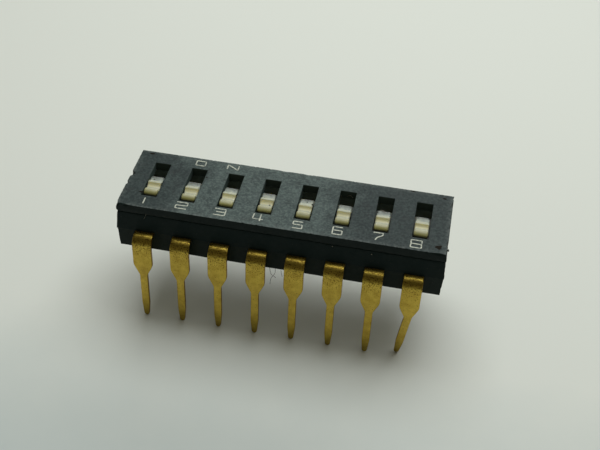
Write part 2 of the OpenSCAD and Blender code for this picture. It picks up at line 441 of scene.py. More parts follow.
@dataclass
class Palette:
    """One material's tree, with the few patterns that every finish here uses."""

    name: str
    material: Material = field(init=False)
    tree: bpy.types.NodeTree = field(init=False)
    shader: Node = field(init=False)
    place: Socket = field(init=False)

    def __post_init__(self) -> None:
        """Makes the material, its shader, and Object coordinates in millimetres."""
        self.material = bpy.data.materials.new(self.name)
        self.material.use_nodes = True
        self.tree = self.material.node_tree
        self.shader = self.tree.nodes["Principled BSDF"]
        coordinates = self.add("ShaderNodeTexCoord").outputs["Object"]
        scaled = {"Vector": coordinates, "Scale": (1 / MM,) * 3}
        self.place = self.add("ShaderNodeMapping", scaled).outputs[0]

    def add(
        self, kind: str, inputs: dict[str | int, object] | None = None, **settings: object
    ) -> Node:
        """Adds a node, with its settings, its input values and its links.

        Args:
            kind: Blender's name for the kind of node.
            inputs: Value, or socket to link, for each input by name or number.
            **settings: Attributes of the node.

        Returns:
            The node.
        """
        node = self.tree.nodes.new(kind)
        for name, value in settings.items():
            setattr(node, name, value)
        self.set_inputs(node, inputs or {})
        return node

    def set_inputs(self, node: Node, inputs: dict[str | int, object]) -> None:
        """Gives inputs of a node their values, or their links.

        Args:
            node: The node.
            inputs: Value, or socket to link, for each input by name or number.
        """
        for name, value in inputs.items():
            if isinstance(value, Socket):
                self.tree.links.new(value, node.inputs[name])
            else:
                node.inputs[name].default_value = value

    def noise(
        self, size: float, detail: float = 4.0, roughness: float = 0.6,
        stretch: tuple[float, float, float] = (1, 1, 1), shift: float = 0.0,
    ) -> Socket:
        """Cloudy noise, about 0.3 to 0.7.

        Args:
            size: Width of its patches, in millimetres.
            detail: Number of finer layers on the patches.
            roughness: Strength of those layers.
            stretch: How much narrower the patches are along X, Y and Z.
            shift: How far the pattern is moved, so that two differ.

        Returns:
            The socket that gives the noise.
        """
        moved = {"Vector": self.place, "Scale": stretch, "Location": (shift, shift / 3, shift / 7)}
        place = self.add("ShaderNodeMapping", moved).outputs[0]
        pattern = {"Vector": place, "Scale": 1 / size, "Detail": detail, "Roughness": roughness}
        return self.add("ShaderNodeTexNoise", pattern).outputs[0]

    def remap(
        self, value: Socket, low: float, high: float, to_low: float = 0.0, to_high: float = 1.0
    ) -> Socket:
        """Spreads a value from one range to another, held at both ends."""
        ranges = {0: value, 1: low, 2: high, 3: to_low, 4: to_high}
        return self.add("ShaderNodeMapRange", ranges, clamp=True).outputs[0]

    def drift(self, size: float, low: float, high: float, **pattern: object) -> Socket:
        """A value that drifts from low to high and back, in patches size across."""
        return self.remap(self.noise(size, 3, **pattern), 0.3, 0.7, low, high)

    def reckon(self, operation: str, first: Socket | float, second: Socket | float = 0.0) -> Socket:
        """One step of arithmetic on two values."""
        return self.add("ShaderNodeMath", {0: first, 1: second}, operation=operation).outputs[0]

    def mix(self, share: Socket | float, first: Socket | str, second: Socket | str) -> Socket:
        """Mixes two colours, each a socket or an sRGB hex value, by the second's share."""
        colours = [linear(c) if isinstance(c, str) else c for c in (first, second)]
        inputs = {0: share, 6: colours[0], 7: colours[1]}
        return self.add("ShaderNodeMix", inputs, data_type="RGBA").outputs[2]

    def attribute(self, name: str) -> Socket:
        """A number that the mesh stores at each vertex."""
        return self.add("ShaderNodeAttribute", attribute_name=name).outputs["Fac"]

    def part_of(self, vector: Socket, axis: int) -> Socket:
        """One part of a vector: 0 for X, 1 for Y and 2 for Z."""
        return self.add("ShaderNodeSeparateXYZ", {0: vector}).outputs[axis]

    def facing(self, axis: int) -> Socket:
        """How far the surface's own direction lies along an axis, 0 to 1 either way."""
        normal = self.add("ShaderNodeTexCoord").outputs["Normal"]
        return self.reckon("ABSOLUTE", self.part_of(normal, axis))

    def within(self, axis: int, reach: float) -> Socket:
        """1 where the place lies nearer than reach to 0 along an axis, and 0 beyond."""
        away = self.reckon("ABSOLUTE", self.part_of(self.place, axis))
        return self.reckon("LESS_THAN", away, reach)

    def times(self, *shares: Socket) -> Socket:
        """The product of several shares."""
        product = shares[0]
        for share in shares[1:]:
            product = self.reckon("MULTIPLY", product, share)
        return product

    def relief(self, height: Socket, depth: float, normal: Socket | None = None) -> Socket:
        """Bumps whose height of 1 stands depth millimetres proud.

        Args:
            height: Height of the bumps, 0 to 1.
            depth: Size of that height, in millimetres.
            normal: Surface direction on which the bumps stand.

        Returns:
            The new surface direction.
        """
        inputs = {"Height": height, "Distance": depth * MM, "Strength": 1.0}
        if normal:
            inputs["Normal"] = normal
        return self.add("ShaderNodeBump", inputs).outputs[0]

    def soft_edges(self, radius: float) -> Socket:
        """Shades sharp edges as if they had a small radius, in millimetres."""
        return self.add("ShaderNodeBevel", {"Radius": radius * MM}, samples=6).outputs[0]

    def finish(self, inputs: dict[str | int, object]) -> Material:
        """Sets the shader's inputs and returns the material."""
        self.set_inputs(self.shader, inputs)
        return self.material


# ---- Finishes ----


@dataclass(frozen=True)
class BasePolyester:
    """Black glass-filled polyester, injection moulded.

    It gives a near-black face with a faint sheen, and a skin roughened by the
    short fibres that lie just under it. The lower half is a little browner, and the
    inside of the cells is painted pale: partly dust, partly painted light in the
    shaded cells.
    """

    parting: float
    cells: tuple[float, float]
    floor_top: float
    body: str = "#0C1D1C"
    lower: str = "#15221D"
    dust: str = "#222826"
    speck: str = "#5C5547"
    cell_dust_and_painted_light: str = "#A0B2AD"
    edge_radius: float = 0.035
    margin: float = 0.015

    def material(self) -> Material:
        """The finish of the base."""
        p = Palette("black glass-filled polyester, moulded")
        height = p.part_of(p.place, 2)
        cloud = p.remap(p.noise(0.9, 5, 0.65), 0.42, 0.68, 0.0, 0.3)
        speck = p.remap(p.noise(0.09, 2, 0.5), 0.7, 0.78, 0.0, 0.5)
        below = p.remap(height, self.parting, self.parting - 0.02)
        colour = p.mix(cloud, p.mix(below, self.body, self.lower), self.dust)
        colour = p.mix(speck, colour, self.speck)
        # Inside the cells the colour is painted pale: partly dust, partly painted light in the
        # shaded cells.
        inside = p.times(
            p.within(0, self.cells[0] + self.margin), p.within(1, self.cells[1] + self.margin),
            p.reckon("GREATER_THAN", height, self.floor_top - self.margin),
        )
        # Fibres under the skin raise it by up to 0.004 mm, in ridges 0.07 mm wide.
        fibres = p.relief(p.noise(0.07, 3), 0.004, p.soft_edges(self.edge_radius))
        return p.finish({
            "Base Color": p.mix(inside, colour, self.cell_dust_and_painted_light),
            "Roughness": p.drift(0.3, 0.42, 0.6),
            "Specular IOR Level": 0.12,
            "Normal": fibres,
        })


@dataclass(frozen=True)
class CoverPolyester:
    """The same polyester on the cover, whose top has been handled and rubbed.

    Rubbing opens the moulded skin, so the top face is a mottled slate grey,
    palest in the middle and along its edges; the top's grey is also partly painted
    sheen and light on the face that points up. The sides keep the near-black skin,
    and the slot walls are painted paler: partly dust, partly painted light in the
    shaded slots.
    """

    skin: str = "#0A1917"
    # handled, rubbed and bare are paler than the skin: partly rubbing, partly painted sheen and
    # light on the top face.
    handled: str = "#182727"
    rubbed: str = "#42504E"
    bare: str = "#5E6F69"
    stain: str = "#182020"
    worn: str = "#7A837F"
    # Partly dust, partly painted light that lifts the shaded slot walls.
    slot_dust_and_painted_light: str = "#4A5956"
    middle: float = -1.5
    fading: tuple[float, float] = (3.7, 6.4)

    def material(self) -> Material:
        """The finish of the cover."""
        p = Palette("black glass-filled polyester, rubbed")
        # The faces that point up take the top's paler colours: worn, and partly painted sheen and
        # light.
        top_worn_and_lit = p.remap(p.facing(2), 0.55, 0.95)
        # The rubbed patch fades over a few millimetres, with a wandering border.
        wander = p.drift(2.4, -1.6, 1.6, roughness=0.5, shift=2.2)
        along = p.reckon("ADD", p.part_of(p.place, 0), wander)
        off_middle = p.reckon("ABSOLUTE", p.reckon("ADD", along, -self.middle))
        rub = p.remap(off_middle, *self.fading, 1.0, 0.0)
        # The wear is patchy at sizes from 0.8 mm, its clouds, to 0.07 mm, its grit.
        cloud = p.remap(p.noise(0.8, 5, 0.68, shift=9.4), 0.36, 0.66, 0.35, 1.0)
        fleck = p.remap(p.noise(0.17, 4, 0.7, shift=3.1), 0.42, 0.68, 0.0, 0.7)
        grit = p.remap(p.noise(0.07, 2, 0.6, shift=7.7), 0.56, 0.72, 0.0, 0.45)
        stain = p.remap(p.noise(0.6, 4, 0.6, shift=11.9), 0.56, 0.7, 0.0, 0.55)
        scuffs = p.remap(p.noise(0.2, 4, 0.7, shift=5.3), 0.42, 0.62, 0.0, 0.6)
        top = p.mix(p.times(rub, cloud), self.handled, self.rubbed)
        top = p.mix(p.times(fleck, p.remap(rub, 0, 1, 0.35, 1)), top, self.bare)
        top = p.mix(grit, top, self.stain)
        top = p.mix(stain, top, self.stain)
        top = p.mix(p.times(p.attribute("wear"), scuffs), top, self.worn)
        # The slot walls are painted paler than the skin: partly dust, partly painted light in the
        # shaded slots.
        sides = p.mix(p.attribute("dusty"), self.skin, self.slot_dust_and_painted_light)
        return p.finish({
            "Base Color": p.mix(top_worn_and_lit, sides, top),
            "Roughness": p.drift(0.25, 0.45, 0.62),
            "Specular IOR Level": 0.18,
            "Normal": p.relief(p.noise(0.06, 3, 0.65), 0.004),
        })


@dataclass(frozen=True)
class SliderNylon:
    """Natural nylon, injection moulded: ivory, slightly clear and satin.

    Its front, on the side that faces OFF, is painted yellower and darker: partly
    yellowing, partly painted shade on faces turned from the light. The groove's
    rear half is painted paler, as painted light through the thin nylon. The rear end
    is painted darker and bluer, as painted shade and a painted reflection of the sky,
    and the parts low down and the plate's top are painted dark: painted shade, with
    some dust on the plate.
    """

    # Bluer than the ridge: a painted reflection of the sky on the knob's rear.
    rear: str = "#A0ABA0"
    ridge: str = "#A8AC96"
    # Yellower and darker than the ridge: partly yellowing, partly painted shade on the front, which
    # faces away from the light.
    front: str = "#949250"
    # Paler than the ridge: painted light on the groove's rear wall, for light through the thin
    # nylon.
    hollow: str = "#D2D0A8"
    # Painted shade at the knob's rear end.
    dull: str = "#3A413D"
    # Painted shade on the parts low down.
    low_painted_shade: str = "#26271B"
    # Dark grey in place of the ivory: partly dust, partly painted shade on the plate deep in the
    # slot.
    plate: str = "#4C534F"
    plate_line: float = 8.3

    def material(self) -> Material:
        """The finish of the sliders."""
        p = Palette("natural nylon, moulded")
        patch = p.drift(0.35, -0.08, 0.08)
        along, yellowing_and_shade, low = (
            p.reckon("ADD", p.attribute(name), patch) for name in ("front", "yellowing_and_shade", "low")
        )
        # The plate's top is painted dark grey: partly dust, partly painted shade deep in the slot.
        plate = p.remap(p.part_of(p.place, 2), self.plate_line + 0.02, self.plate_line - 0.02)
        # Towards the rear the colour turns bluer: a painted reflection of the sky.
        colour = p.mix(p.remap(along, 0.15, 0.45), self.rear, self.ridge)
        # The front is painted yellower and darker: partly yellowing, partly painted shade.
        colour = p.mix(p.remap(yellowing_and_shade, 0.0, 1.0), colour, self.front)
        # The groove's rear half is painted paler: painted light over its shaded wall.
        colour = p.mix(p.attribute("hollow"), colour, self.hollow)
        # The rear end is painted darker: painted shade.
        colour = p.mix(p.remap(along, 0.0, 0.29, 1.0, 0.0), colour, self.dull)
        # The parts low down are painted near-black: painted shade under the ridges and in the slot.
        colour = p.mix(p.remap(low, 0.1, 0.95), colour, self.low_painted_shade)
        return p.finish({
            "Base Color": p.mix(plate, colour, self.plate),
            "Roughness": p.drift(0.2, 0.36, 0.52),
            "Subsurface Weight": 0.6,
            "Subsurface Radius": (1.0, 0.9, 0.6),
            "Subsurface Scale": 0.3 * MM,
            "Normal": p.relief(p.noise(0.12, 3), 0.006),
        })


@dataclass(frozen=True)
class GoldFlash:
    """Thin gold over nickel on stamped bronze strip, long stored.

    A warm satin metal with faint rub marks along the strip. It is dull and brown
    round the bends, where forming cracked the flash, and on the stamped edges.
    Small tarnished pits are densest high up by the housing. The tips are browner.
    """

    gold: str = "#D2B550"
    dull: str = "#B6983F"
    brown: str = "#7C7030"
    edge: str = "#8A5F1E"
    tarnish: str = "#4A3311"
    brown_tip: tuple[float, float] = (0.1, 1.7)
    pitted_top: tuple[float, float] = (5.0, 6.2)

    def material(self) -> Material:
        """The finish of the leads and the bridges."""
        p = Palette("gold flash over nickel, stamped")
        height = p.part_of(p.place, 2)
        cloud = p.remap(p.noise(0.5, 5), 0.35, 0.68)
        # The rub marks run down the strip, 0.35 mm long and 0.05 mm wide.
        rubs = p.noise(0.35, stretch=(7, 1, 1))
        pitted = p.remap(height, *self.pitted_top, 0.0, 0.1)
        holes = p.remap(
            p.reckon("ADD", p.noise(0.085, 3, shift=4.1), pitted), 0.61, 0.7, 0.0, 0.85
        )
        cracked = p.times(p.attribute("bent"), p.drift(0.3, 0.55, 0.85, stretch=(0.3, 1, 1)))
        sheared = p.remap(p.facing(0), 0.6, 0.95, 0.0, 0.75)
        colour = p.mix(cloud, self.gold, self.dull)
        colour = p.mix(cracked, colour, self.brown)
        colour = p.mix(p.remap(height, *self.brown_tip, 0.6, 0.0), colour, self.brown)
        colour = p.mix(sheared, colour, self.edge)
        colour = p.mix(holes, colour, self.tarnish)
        return p.finish({
            "Base Color": colour,
            "Metallic": 1.0,
            "Roughness": p.remap(rubs, 0.3, 0.7, 0.3, 0.42),
            "Normal": p.relief(rubs, 0.003, p.relief(p.noise(0.09, 3), 0.0025)),
        })


@dataclass(frozen=True)
class PrintInk:
    """Pale pad-printing ink, worn thin so that the plastic shows through."""

    ink: str = "#BEC4B4"
    through: str = "#56605B"

    def material(self) -> Material:
        """The finish of the printed marks."""
        p = Palette("pad-printing ink, worn")
        thin = p.remap(p.noise(0.14, 4, 0.7, shift=1.7), 0.44, 0.66)
        return p.finish({
            "Base Color": p.mix(thin, self.ink, self.through),
            "Roughness": 0.6,
            "Normal": p.relief(p.noise(0.05, 2), 0.003),
        })


@dataclass(frozen=True)
class Lint:
    """Loose cotton lint and dust: pale and matt."""

    pale: str = "#B7B3A6"
    dim: str = "#6F6A5E"

    def material(self) -> Material:
        """The finish of the fibres and specks of dust."""
        p = Palette("cotton lint, loose")
        return p.finish({
            "Base Color": p.mix(p.noise(0.1, 2), self.pale, self.dim),
            "Roughness": 0.9,
            "Specular IOR Level": 0.2,
        })


@dataclass(frozen=True)
class Grime:
    """Dark dried dirt in small lumps, matt."""

    dark: str = "#14130F"
    dusty: str = "#2A2721"

    def material(self) -> Material:
        """The finish of the dark specks."""
        p = Palette("dried grime, matt")
        return p.finish({
            "Base Color": p.mix(p.noise(0.05, 2), self.dark, self.dusty),
            "Roughness": 0.9,
            "Specular IOR Level": 0.05,
        })


@dataclass(frozen=True)
class Card:
    """Smooth pale card under the part, painted darker towards the near side: a painted fall-off of
    the light.
    """

    # near is darker than far: a painted fall-off of the light towards the near side.
    near: str = "#C1CCC9"
    far: str = "#D6DCD5"
    painted_falloff: tuple[float, float] = (-16.0, -4.0)

    def material(self) -> Material:
        """The finish of the floor."""
        p = Palette("pale card, smooth")
        # The colour darkens towards the near side along a wandering line: painted shade, a painted
        # fall-off of the light.
        forward = p.reckon("ADD", p.part_of(p.place, 1), p.drift(5.0, -1.0, 1.0))
        return p.finish({
            "Base Color": p.mix(p.remap(forward, *self.painted_falloff), self.near, self.far),
            "Roughness": 0.8,
            "Specular IOR Level": 0.2,
        })


# ---- Base ----


@dataclass
class Base:
    """The moulded base: uneven walls round eight cells, on a floor with holes.

    Outward growth is measured from the walls' faces at the joint with the cover,
    and the cells' size and their holes' place are halves, from the middle.
    """

    flare: float = 0.105
    parting_step: float = 0.04
    lower_draft: float = 0.065
    chamfer: float = 0.1
    rim: float = 0.05
    parting: float = 6.9
    floor_top: float = 6.89
    cells: tuple[float, float] = (9.88, 2.165)
    floor_lap: float = 0.135
    rebate: float = 0.3
    rebate_depth: float = 0.27
    partition: float = 0.56
    hole_radius: float = 0.35
    hole_y: float = 1.815
    hole_points: int = 32
    patch: float = 0.45
    mesh_step: float = 0.1
    upper_rows: int = 16
    lower_rows: int = 14
    under: float = field(init=False)
    joint: float = field(init=False)
    top: float = field(init=False)
    half: np.ndarray = field(init=False)

    def __post_init__(self) -> None:
        """Takes the heights and the outline from the CAD nodes."""
        low, high = node_box("base")
        self.under, self.joint = float(low[2]), float(high[2])
        self.top = float(node_box("cover")[1][2])
        self.half = high[:2] - self.flare

    def finish(self) -> BasePolyester:
        """The plastic of the base, which shows where its halves and cells are."""
        return BasePolyester(self.parting, self.cells, self.floor_top)

    def build(self, material: Material) -> Piece:
        """Makes the base, which stands for the CAD node.

        Args:
            material: Finish of the piece.

        Returns:
            The piece.
        """
        shell = join_parts([self._walls(), self._floor(), *self._partitions()])
        piece = make_piece("moulded_base", *shell, material, HOUSING, "base_plastic", crease=35)
        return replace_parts(piece, "base")

    def _bite(self, side: Side, along: np.ndarray, z: np.ndarray) -> np.ndarray:
        """How far a side is eaten away, at places along it and at heights.

        Slow and fine waves of 0.01 and 0.005 mm everywhere but on the underside,
        nibbles of up to 0.05 mm that grow from 0.16 to 0.04 mm under the joint,
        and a ragged right end.

        Args:
            side: The side.
            along: Place along it, for each point.
            z: Height, for each point.

        Returns:
            One distance for each point.
        """
        slow, fine = uneven(along, 3.0, 80 + side.seed), uneven(along, 0.45, 90 + side.seed, z)
        rise = np.clip((z - self.joint + 0.16) / 0.12, 0, 1)
        eaten = 0.01 * slow + 0.005 * fine + 0.05 * crests(along, 0.4, 100 + side.seed, 0.2) * rise
        if side is Side.RIGHT:
            eaten = eaten + ragged_end(along, self.top - z)
        return np.where(z < self.under + 0.01, 0, eaten)

    def _walls(self) -> Shell:
        """The walls: one section carried round the body.

        A place (u, v) runs round the square from -1 to 1. Each ring stands at
        (u * half length, v * half width), less the bite of its own side.
        """
        turn = np.linspace(math.pi / 3, 0, 3)
        step_in = self.flare - self.parting_step
        foot = step_in - self.lower_draft
        ledge = self.joint - self.rebate_depth
        outer = [
            (-self.chamfer, self.joint), (-self.chamfer / 2, self.joint - self.chamfer / 2),
            *np.linspace(
                (0, self.joint - self.chamfer), (self.flare, self.parting), self.upper_rows
            ),
            *np.linspace(
                (step_in, self.parting), (foot, self.under + self.rim), self.lower_rows
            ),
            *zip(foot - self.rim * (1 - np.sin(turn)), self.under + self.rim * (1 - np.cos(turn))),
        ]
        inner = [
            (self.floor_lap, self.under), (self.floor_lap, self.floor_top), (0.0, self.floor_top),
            (0.0, ledge), (self.rebate, ledge), (self.rebate, self.joint),
        ]
        cells = np.array(self.cells)
        halves = np.array([
            *(self.half + grow for grow, _ in outer), *(cells + grow for grow, _ in inner)
        ])
        z = np.array([height for _, height in [*outer, *inner]])
        worn = np.arange(len(z)) < len(outer)
        u, v = self._square().T
        x, y = u[:, None] * halves[:, 0], v[:, None] * halves[:, 1]
        height = np.broadcast_to(z, x.shape)
        left, right, front, back = (
            self._bite(side, y if side.value[0] else x, height) * worn for side in Side
        )
        x = x - (u == 1)[:, None] * right + (u == -1)[:, None] * left
        y = y - (v == 1)[:, None] * back + (v == -1)[:, None] * front
        return carry_rings(np.stack([x, y, height], -1), True)

    def _square(self) -> np.ndarray:
        """Places anticlockwise round the square from -1 to 1, mesh_step apart on the body."""
        counts = [int(2 * side / self.mesh_step) for side in self.half] * 2
        return np.concatenate([
            np.linspace(start, end, count)[:-1]
            for start, end, count in zip(SQUARE, np.roll(SQUARE, -1, 0), counts)
        ])

    def _floor(self) -> Shell:
        """The floor, a grid of rectangles with a round hole at each end of a cell.

        In each square, every edge of the hole is joined to the corner nearest
        it, and each side of the square to the point of the hole that faces it.
        """
        rows = np.array([-self.hole_y, self.hole_y])
        xs, ys = (
            np.array([-end, *either_side(middles, self.patch), end])
            for middles, end in zip((all_stations(), rows), np.array(self.cells) + self.floor_lap)
        )
        grid, quads = grid_cells(xs, ys)
        holed = np.zeros(quads.shape[:2], bool)
        holed[1:-1:2, 1:-1:2] = True
        corners = quads[holed]
        count = self.hole_points
        quarter, eighth = count // 4, count // 8
        turn = np.linspace(-0.75 * math.pi, 1.25 * math.pi, count, endpoint=False)
        circle = self.hole_radius * np.column_stack([np.cos(turn), np.sin(turn)])
        holes = grid[corners].mean(1)[:, None] + circle
        rim = len(grid) + np.arange(len(corners) * count).reshape(-1, count)
        nearest = corners[:, (np.arange(count) + eighth) // quarter % 4]
        fans = np.stack([nearest, np.roll(rim, -1, 1), rim], -1).reshape(-1, 3)
        facing = rim[:, eighth::quarter]
        sides = np.stack([corners, np.roll(corners, -1, 1), facing], -1).reshape(-1, 3)
        flat = np.concatenate([grid, holes.reshape(-1, 2)])
        return thick_sheet(flat, [quads[~holed], fans, sides], self.under, self.floor_top)

    def _partitions(self) -> list[Shell]:
        """The walls between the cells, each midway between two positions."""
        stations = all_stations()
        corners = SQUARE * [self.partition / 2, self.cells[1]]
        foot = self.floor_top - OVERLAP
        return [
            thick_sheet(corners + [x, 0], [np.arange(4)[None]], foot, self.joint)
            for x in (stations[1:] + stations[:-1]) / 2
        ]


# ---- Cover ----


@dataclass(frozen=True)
class Chip:
    """A break in the cover's top edge: a hollow with sloping ends.

    Sizes are in millimetres: place and half_length lie along the side, bite
    goes in from the side, and depth goes down from the top.
    """

    side: Side
    place: float
    half_length: float
    bite: float
    depth: float


@dataclass
class Cover:
    """The cover plate with its slots, worn rims and chipped edges.

    Each point stores its wear, exp(-distance to the outer edge / wear_reach), and
    whether it is well inside that edge, where the slot walls are painted paler:
    partly dust, partly painted light in the shaded slots.
    """

    wear_reach: float = 0.15
    dust_and_painted_light_gap: float = 0.3
    slot_width: float = 1.07
    slot_front: float = -1.7
    slot_back: float = 1.76
    thickness: float = 0.6
    draft: float = 0.02
    lip: float = 0.04
    tongue_width: float = 0.26
    wall: float = 0.71
    end_wall: float = 0.79
    fit: float = 0.02
    mesh_step: float = 0.1
    border: float = 0.8
    rim: float = 0.03
    slot_rim: float = 0.025
    levels: tuple[float, ...] = (0.08, 0.14, 0.2, 0.27, 0.34, 0.48, 0.55)
    chips: tuple[Chip, ...] = (
        Chip(Side.LEFT, 0.29, 0.3, 0.3, 0.34),
        Chip(Side.LEFT, -0.7, 0.17, 0.15, 0.2),
        Chip(Side.LEFT, -2.8, 0.25, 0.12, 0.25),
        Chip(Side.FRONT, -10.35, 0.65, 0.12, 0.14),
        Chip(Side.FRONT, 10.15, 0.5, 0.09, 0.16),
        Chip(Side.BACK, 0.86, 0.3, 0.06, 0.1),
        Chip(Side.BACK, -0.7, 0.45, 0.05, 0.12),
        Chip(Side.RIGHT, 1.9, 0.35, 0.06, 0.3),
        Chip(Side.RIGHT, -2.0, 0.3, 0.05, 0.25),
    )
    top: float = field(init=False)
    bottom: float = field(init=False)
    tongue_end: float = field(init=False)
    half: np.ndarray = field(init=False)

    def __post_init__(self) -> None:
        """Takes the heights and the outline of the top from the CAD node."""
        low, high = node_box("cover")
        self.top, self.tongue_end = float(high[2]), float(low[2])
        self.bottom = self.top - self.thickness
        self.half = high[:2] - self.draft

    def build(self, material: Material) -> Piece:
        """Makes the cover, which stands for the CAD node.

        Args:
            material: Finish of the piece.

        Returns:
            The piece.
        """
        points, faces = join_parts([self._plate(), self._tongue()])
        piece = make_piece(
            "worn_cover", points, faces, material, HOUSING, "cover_plastic", crease=30
        )
        gap = (self.half - np.abs(points[:, :2])).min(1)
        add_attribute(piece, "wear", np.exp(-np.clip(gap, 0, None) / self.wear_reach))
        # Well inside the outer edge, the slot walls get the paler colour: partly dust, partly
        # painted light.
        add_attribute(piece, "dusty", (gap > self.dust_and_painted_light_gap).astype(float))
        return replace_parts(piece, "cover")

    def _lines(self, breaks: list[float]) -> np.ndarray:
        """Grid lines that hit every break, in order, and lie at most mesh_step apart."""
        spans = [
            np.linspace(a, b, math.ceil((b - a) / self.mesh_step) + 1)[:-1]
            for a, b in zip(breaks, breaks[1:])
        ]
        return np.concatenate([*spans, [breaks[-1]]])

    def _sheet(self) -> tuple[np.ndarray, np.ndarray]:
        """A flat grid over the plate that leaves out the cells in the slots.

        Returns:
            The points (x, y), and quads that run anticlockwise seen from above.
        """
        stations = all_stations()
        half_slot = self.slot_width / 2
        xs = self._lines([-self.half[0], *either_side(stations, half_slot), self.half[0]])
        ys = self._lines([-self.half[1], self.slot_front, self.slot_back, self.half[1]])
        mid_x, mid_y = (xs[1:] + xs[:-1]) / 2, (ys[1:] + ys[:-1]) / 2
        in_slot = (np.abs(mid_x[:, None] - stations).min(1) < half_slot)[:, None]
        solid = ~(in_slot & (mid_y > self.slot_front) & (mid_y < self.slot_back))
        points, quads = grid_cells(xs, ys)
        used, quads = np.unique(quads[solid], return_inverse=True)
        return points[used], quads.reshape(-1, 4)

    def _bite(self, side: Side, along: np.ndarray, drop: np.ndarray | float) -> np.ndarray:
        """How far a side is eaten away, at places along it and at a depth.

        A chip takes bite * (1 - |place| / half_length) * (1 - drop / depth).
        Crests of fine waves take up to 0.055 mm, fewer where slow waves are low,
        and fade out 0.13 mm down. The lower rim is nibbled by up to 0.045 mm from
        0.48 mm down, and the right end is ragged all the way.

        Args:
            side: The side.
            along: Place along it, for each point.
            drop: Depth below the top.

        Returns:
            One distance for each point.
        """
        lower = np.clip((drop - 0.48) / 0.08, 0, 1)
        nibbled = 0.045 * lower * crests(along, 0.4, 70 + side.seed, 0.3)
        share = np.clip(crests(along, 2.6, 40 + side.seed, 0.5), 0.15, 1)
        fine = share * crests(along, 0.22, 20 + side.seed, -0.55)
        eaten = nibbled + 0.055 * fine * np.clip(1 - drop / 0.13, 0, 1)
        if side is Side.RIGHT:
            eaten = eaten + ragged_end(along, drop)
        for chip in self.chips:
            if chip.side is side:
                shape = np.clip(1 - np.abs(along - chip.place) / chip.half_length, 0, 1)
                eaten = eaten + chip.bite * shape * np.clip(1 - drop / chip.depth, 0, 1)
        return eaten

    def _inset(self, flat: np.ndarray, axis: int, drop: float) -> np.ndarray:
        """How far in the nearer side across an axis lies at a depth: its rim and its bite.

        Args:
            flat: Points (x, y) of the uneaten outline.
            axis: 0 for the two ends, 1 for the two long sides.
            drop: Depth below the top.

        Returns:
            One distance for each point.
        """
        sides = (Side.LEFT, Side.RIGHT) if axis == 0 else (Side.FRONT, Side.BACK)
        low_side, high_side = (self._bite(side, flat[:, 1 - axis], drop) for side in sides)
        return rim_inset(drop, self.rim) + np.where(flat[:, axis] < 0, low_side, high_side)

    def _mitres(self, flat: np.ndarray, rims: np.ndarray) -> np.ndarray:
        """How each point moves where every rim moves outwards by 1.

        With s the sum of the normals of a point's two edges: 2 s / |s|^2.

        Args:
            flat: Points (x, y) of the sheet.
            rims: Edges of its rims, by the numbers of their points.

        Returns:
            One move (x, y) for each point, which is 0 away from the rims.
        """
        outward = right_of(flat[rims[:, 1]] - flat[rims[:, 0]])
        summed = np.zeros((len(flat), 2))
        np.add.at(summed, rims[:, 0], outward)
        np.add.at(summed, rims[:, 1], outward)
        return 2 * summed / np.maximum((summed**2).sum(1), 1e-9)[:, None]

    def _drawn_in(self, flat: np.ndarray) -> np.ndarray:
        """The top sheet, drawn in near the outer edge so that its cells never cross.

        It follows the edge's own inset, times (1 - distance / border)^2.

        Args:
            flat: Points (x, y) of the sheet.

        Returns:
            The moved points.
        """
        top = flat.copy()
        for axis in (0, 1):
            distance = self.half[axis] - np.abs(flat[:, axis])
            fade = np.clip(1 - distance / self.border, 0, 1) ** 2
            top[:, axis] -= np.sign(flat[:, axis]) * self._inset(flat, axis, 0.0) * fade
        return top

    def _plate(self) -> Shell:
        """The plate: a top sheet, walls round every edge, and an underside.

        A row of the walls stands at each level. Outside, it is moved out by its
        share of the draft less the inset, and in the slots in by their own rim.
        """
        flat, quads = self._sheet()
        count = len(flat)
        rims = open_edges([quads], count)
        rim_points = np.unique(rims)
        edge, mitre = flat[rim_points], self._mitres(flat, rims)[rim_points]
        outer = (np.abs(np.abs(edge) - self.half) < 1e-6).any(1)[:, None]
        top, bottom = self._drawn_in(flat), flat.copy()
        top[rim_points] -= np.where(outer, 0, self.slot_rim) * mitre

        rows = []
        for drop in (0.15 * self.rim, 0.5 * self.rim, self.rim, *self.levels, self.thickness):
            insets = np.stack([self._inset(edge, axis, drop) for axis in (0, 1)], -1)
            outset = np.where(
                outer, self.draft * drop / self.thickness - insets, -rim_inset(drop, self.slot_rim)
            )
            heights = np.full(len(edge), self.top - drop)
            rows.append(np.column_stack([edge + mitre * outset, heights]))
        bottom[rim_points] = rows.pop()[:, :2]
        points = np.concatenate([
            np.column_stack([top, np.full(count, self.top)]), *rows,
            np.column_stack([bottom, np.full(count, self.bottom)]),
        ])

        rank = np.searchsorted(rim_points, rims)
        under = count + len(rows) * len(edge)
        bands = [rims, *(count + k * len(edge) + rank for k in range(len(rows))), under + rims]
        walls = np.concatenate([
            np.stack([lower[:, 0], lower[:, 1], upper[:, 1], upper[:, 0]], -1)
            for upper, lower in zip(bands, bands[1:])
        ])
        return points, [quads, walls, under + quads[:, ::-1]]

    def _tongue(self) -> Shell:
        """The ring under the plate that sits in the base's rebate."""
        body = self.half + self.draft - self.lip
        inner = body - [self.end_wall, self.wall] + self.fit
        low, high, width = self.tongue_end, self.bottom + OVERLAP, self.tongue_width
        section = ((0, high), (width, high), (width, low), (0, low))
        return carry_section(SQUARE * inner, SQUARE, section, True)


# ---- Leads ----


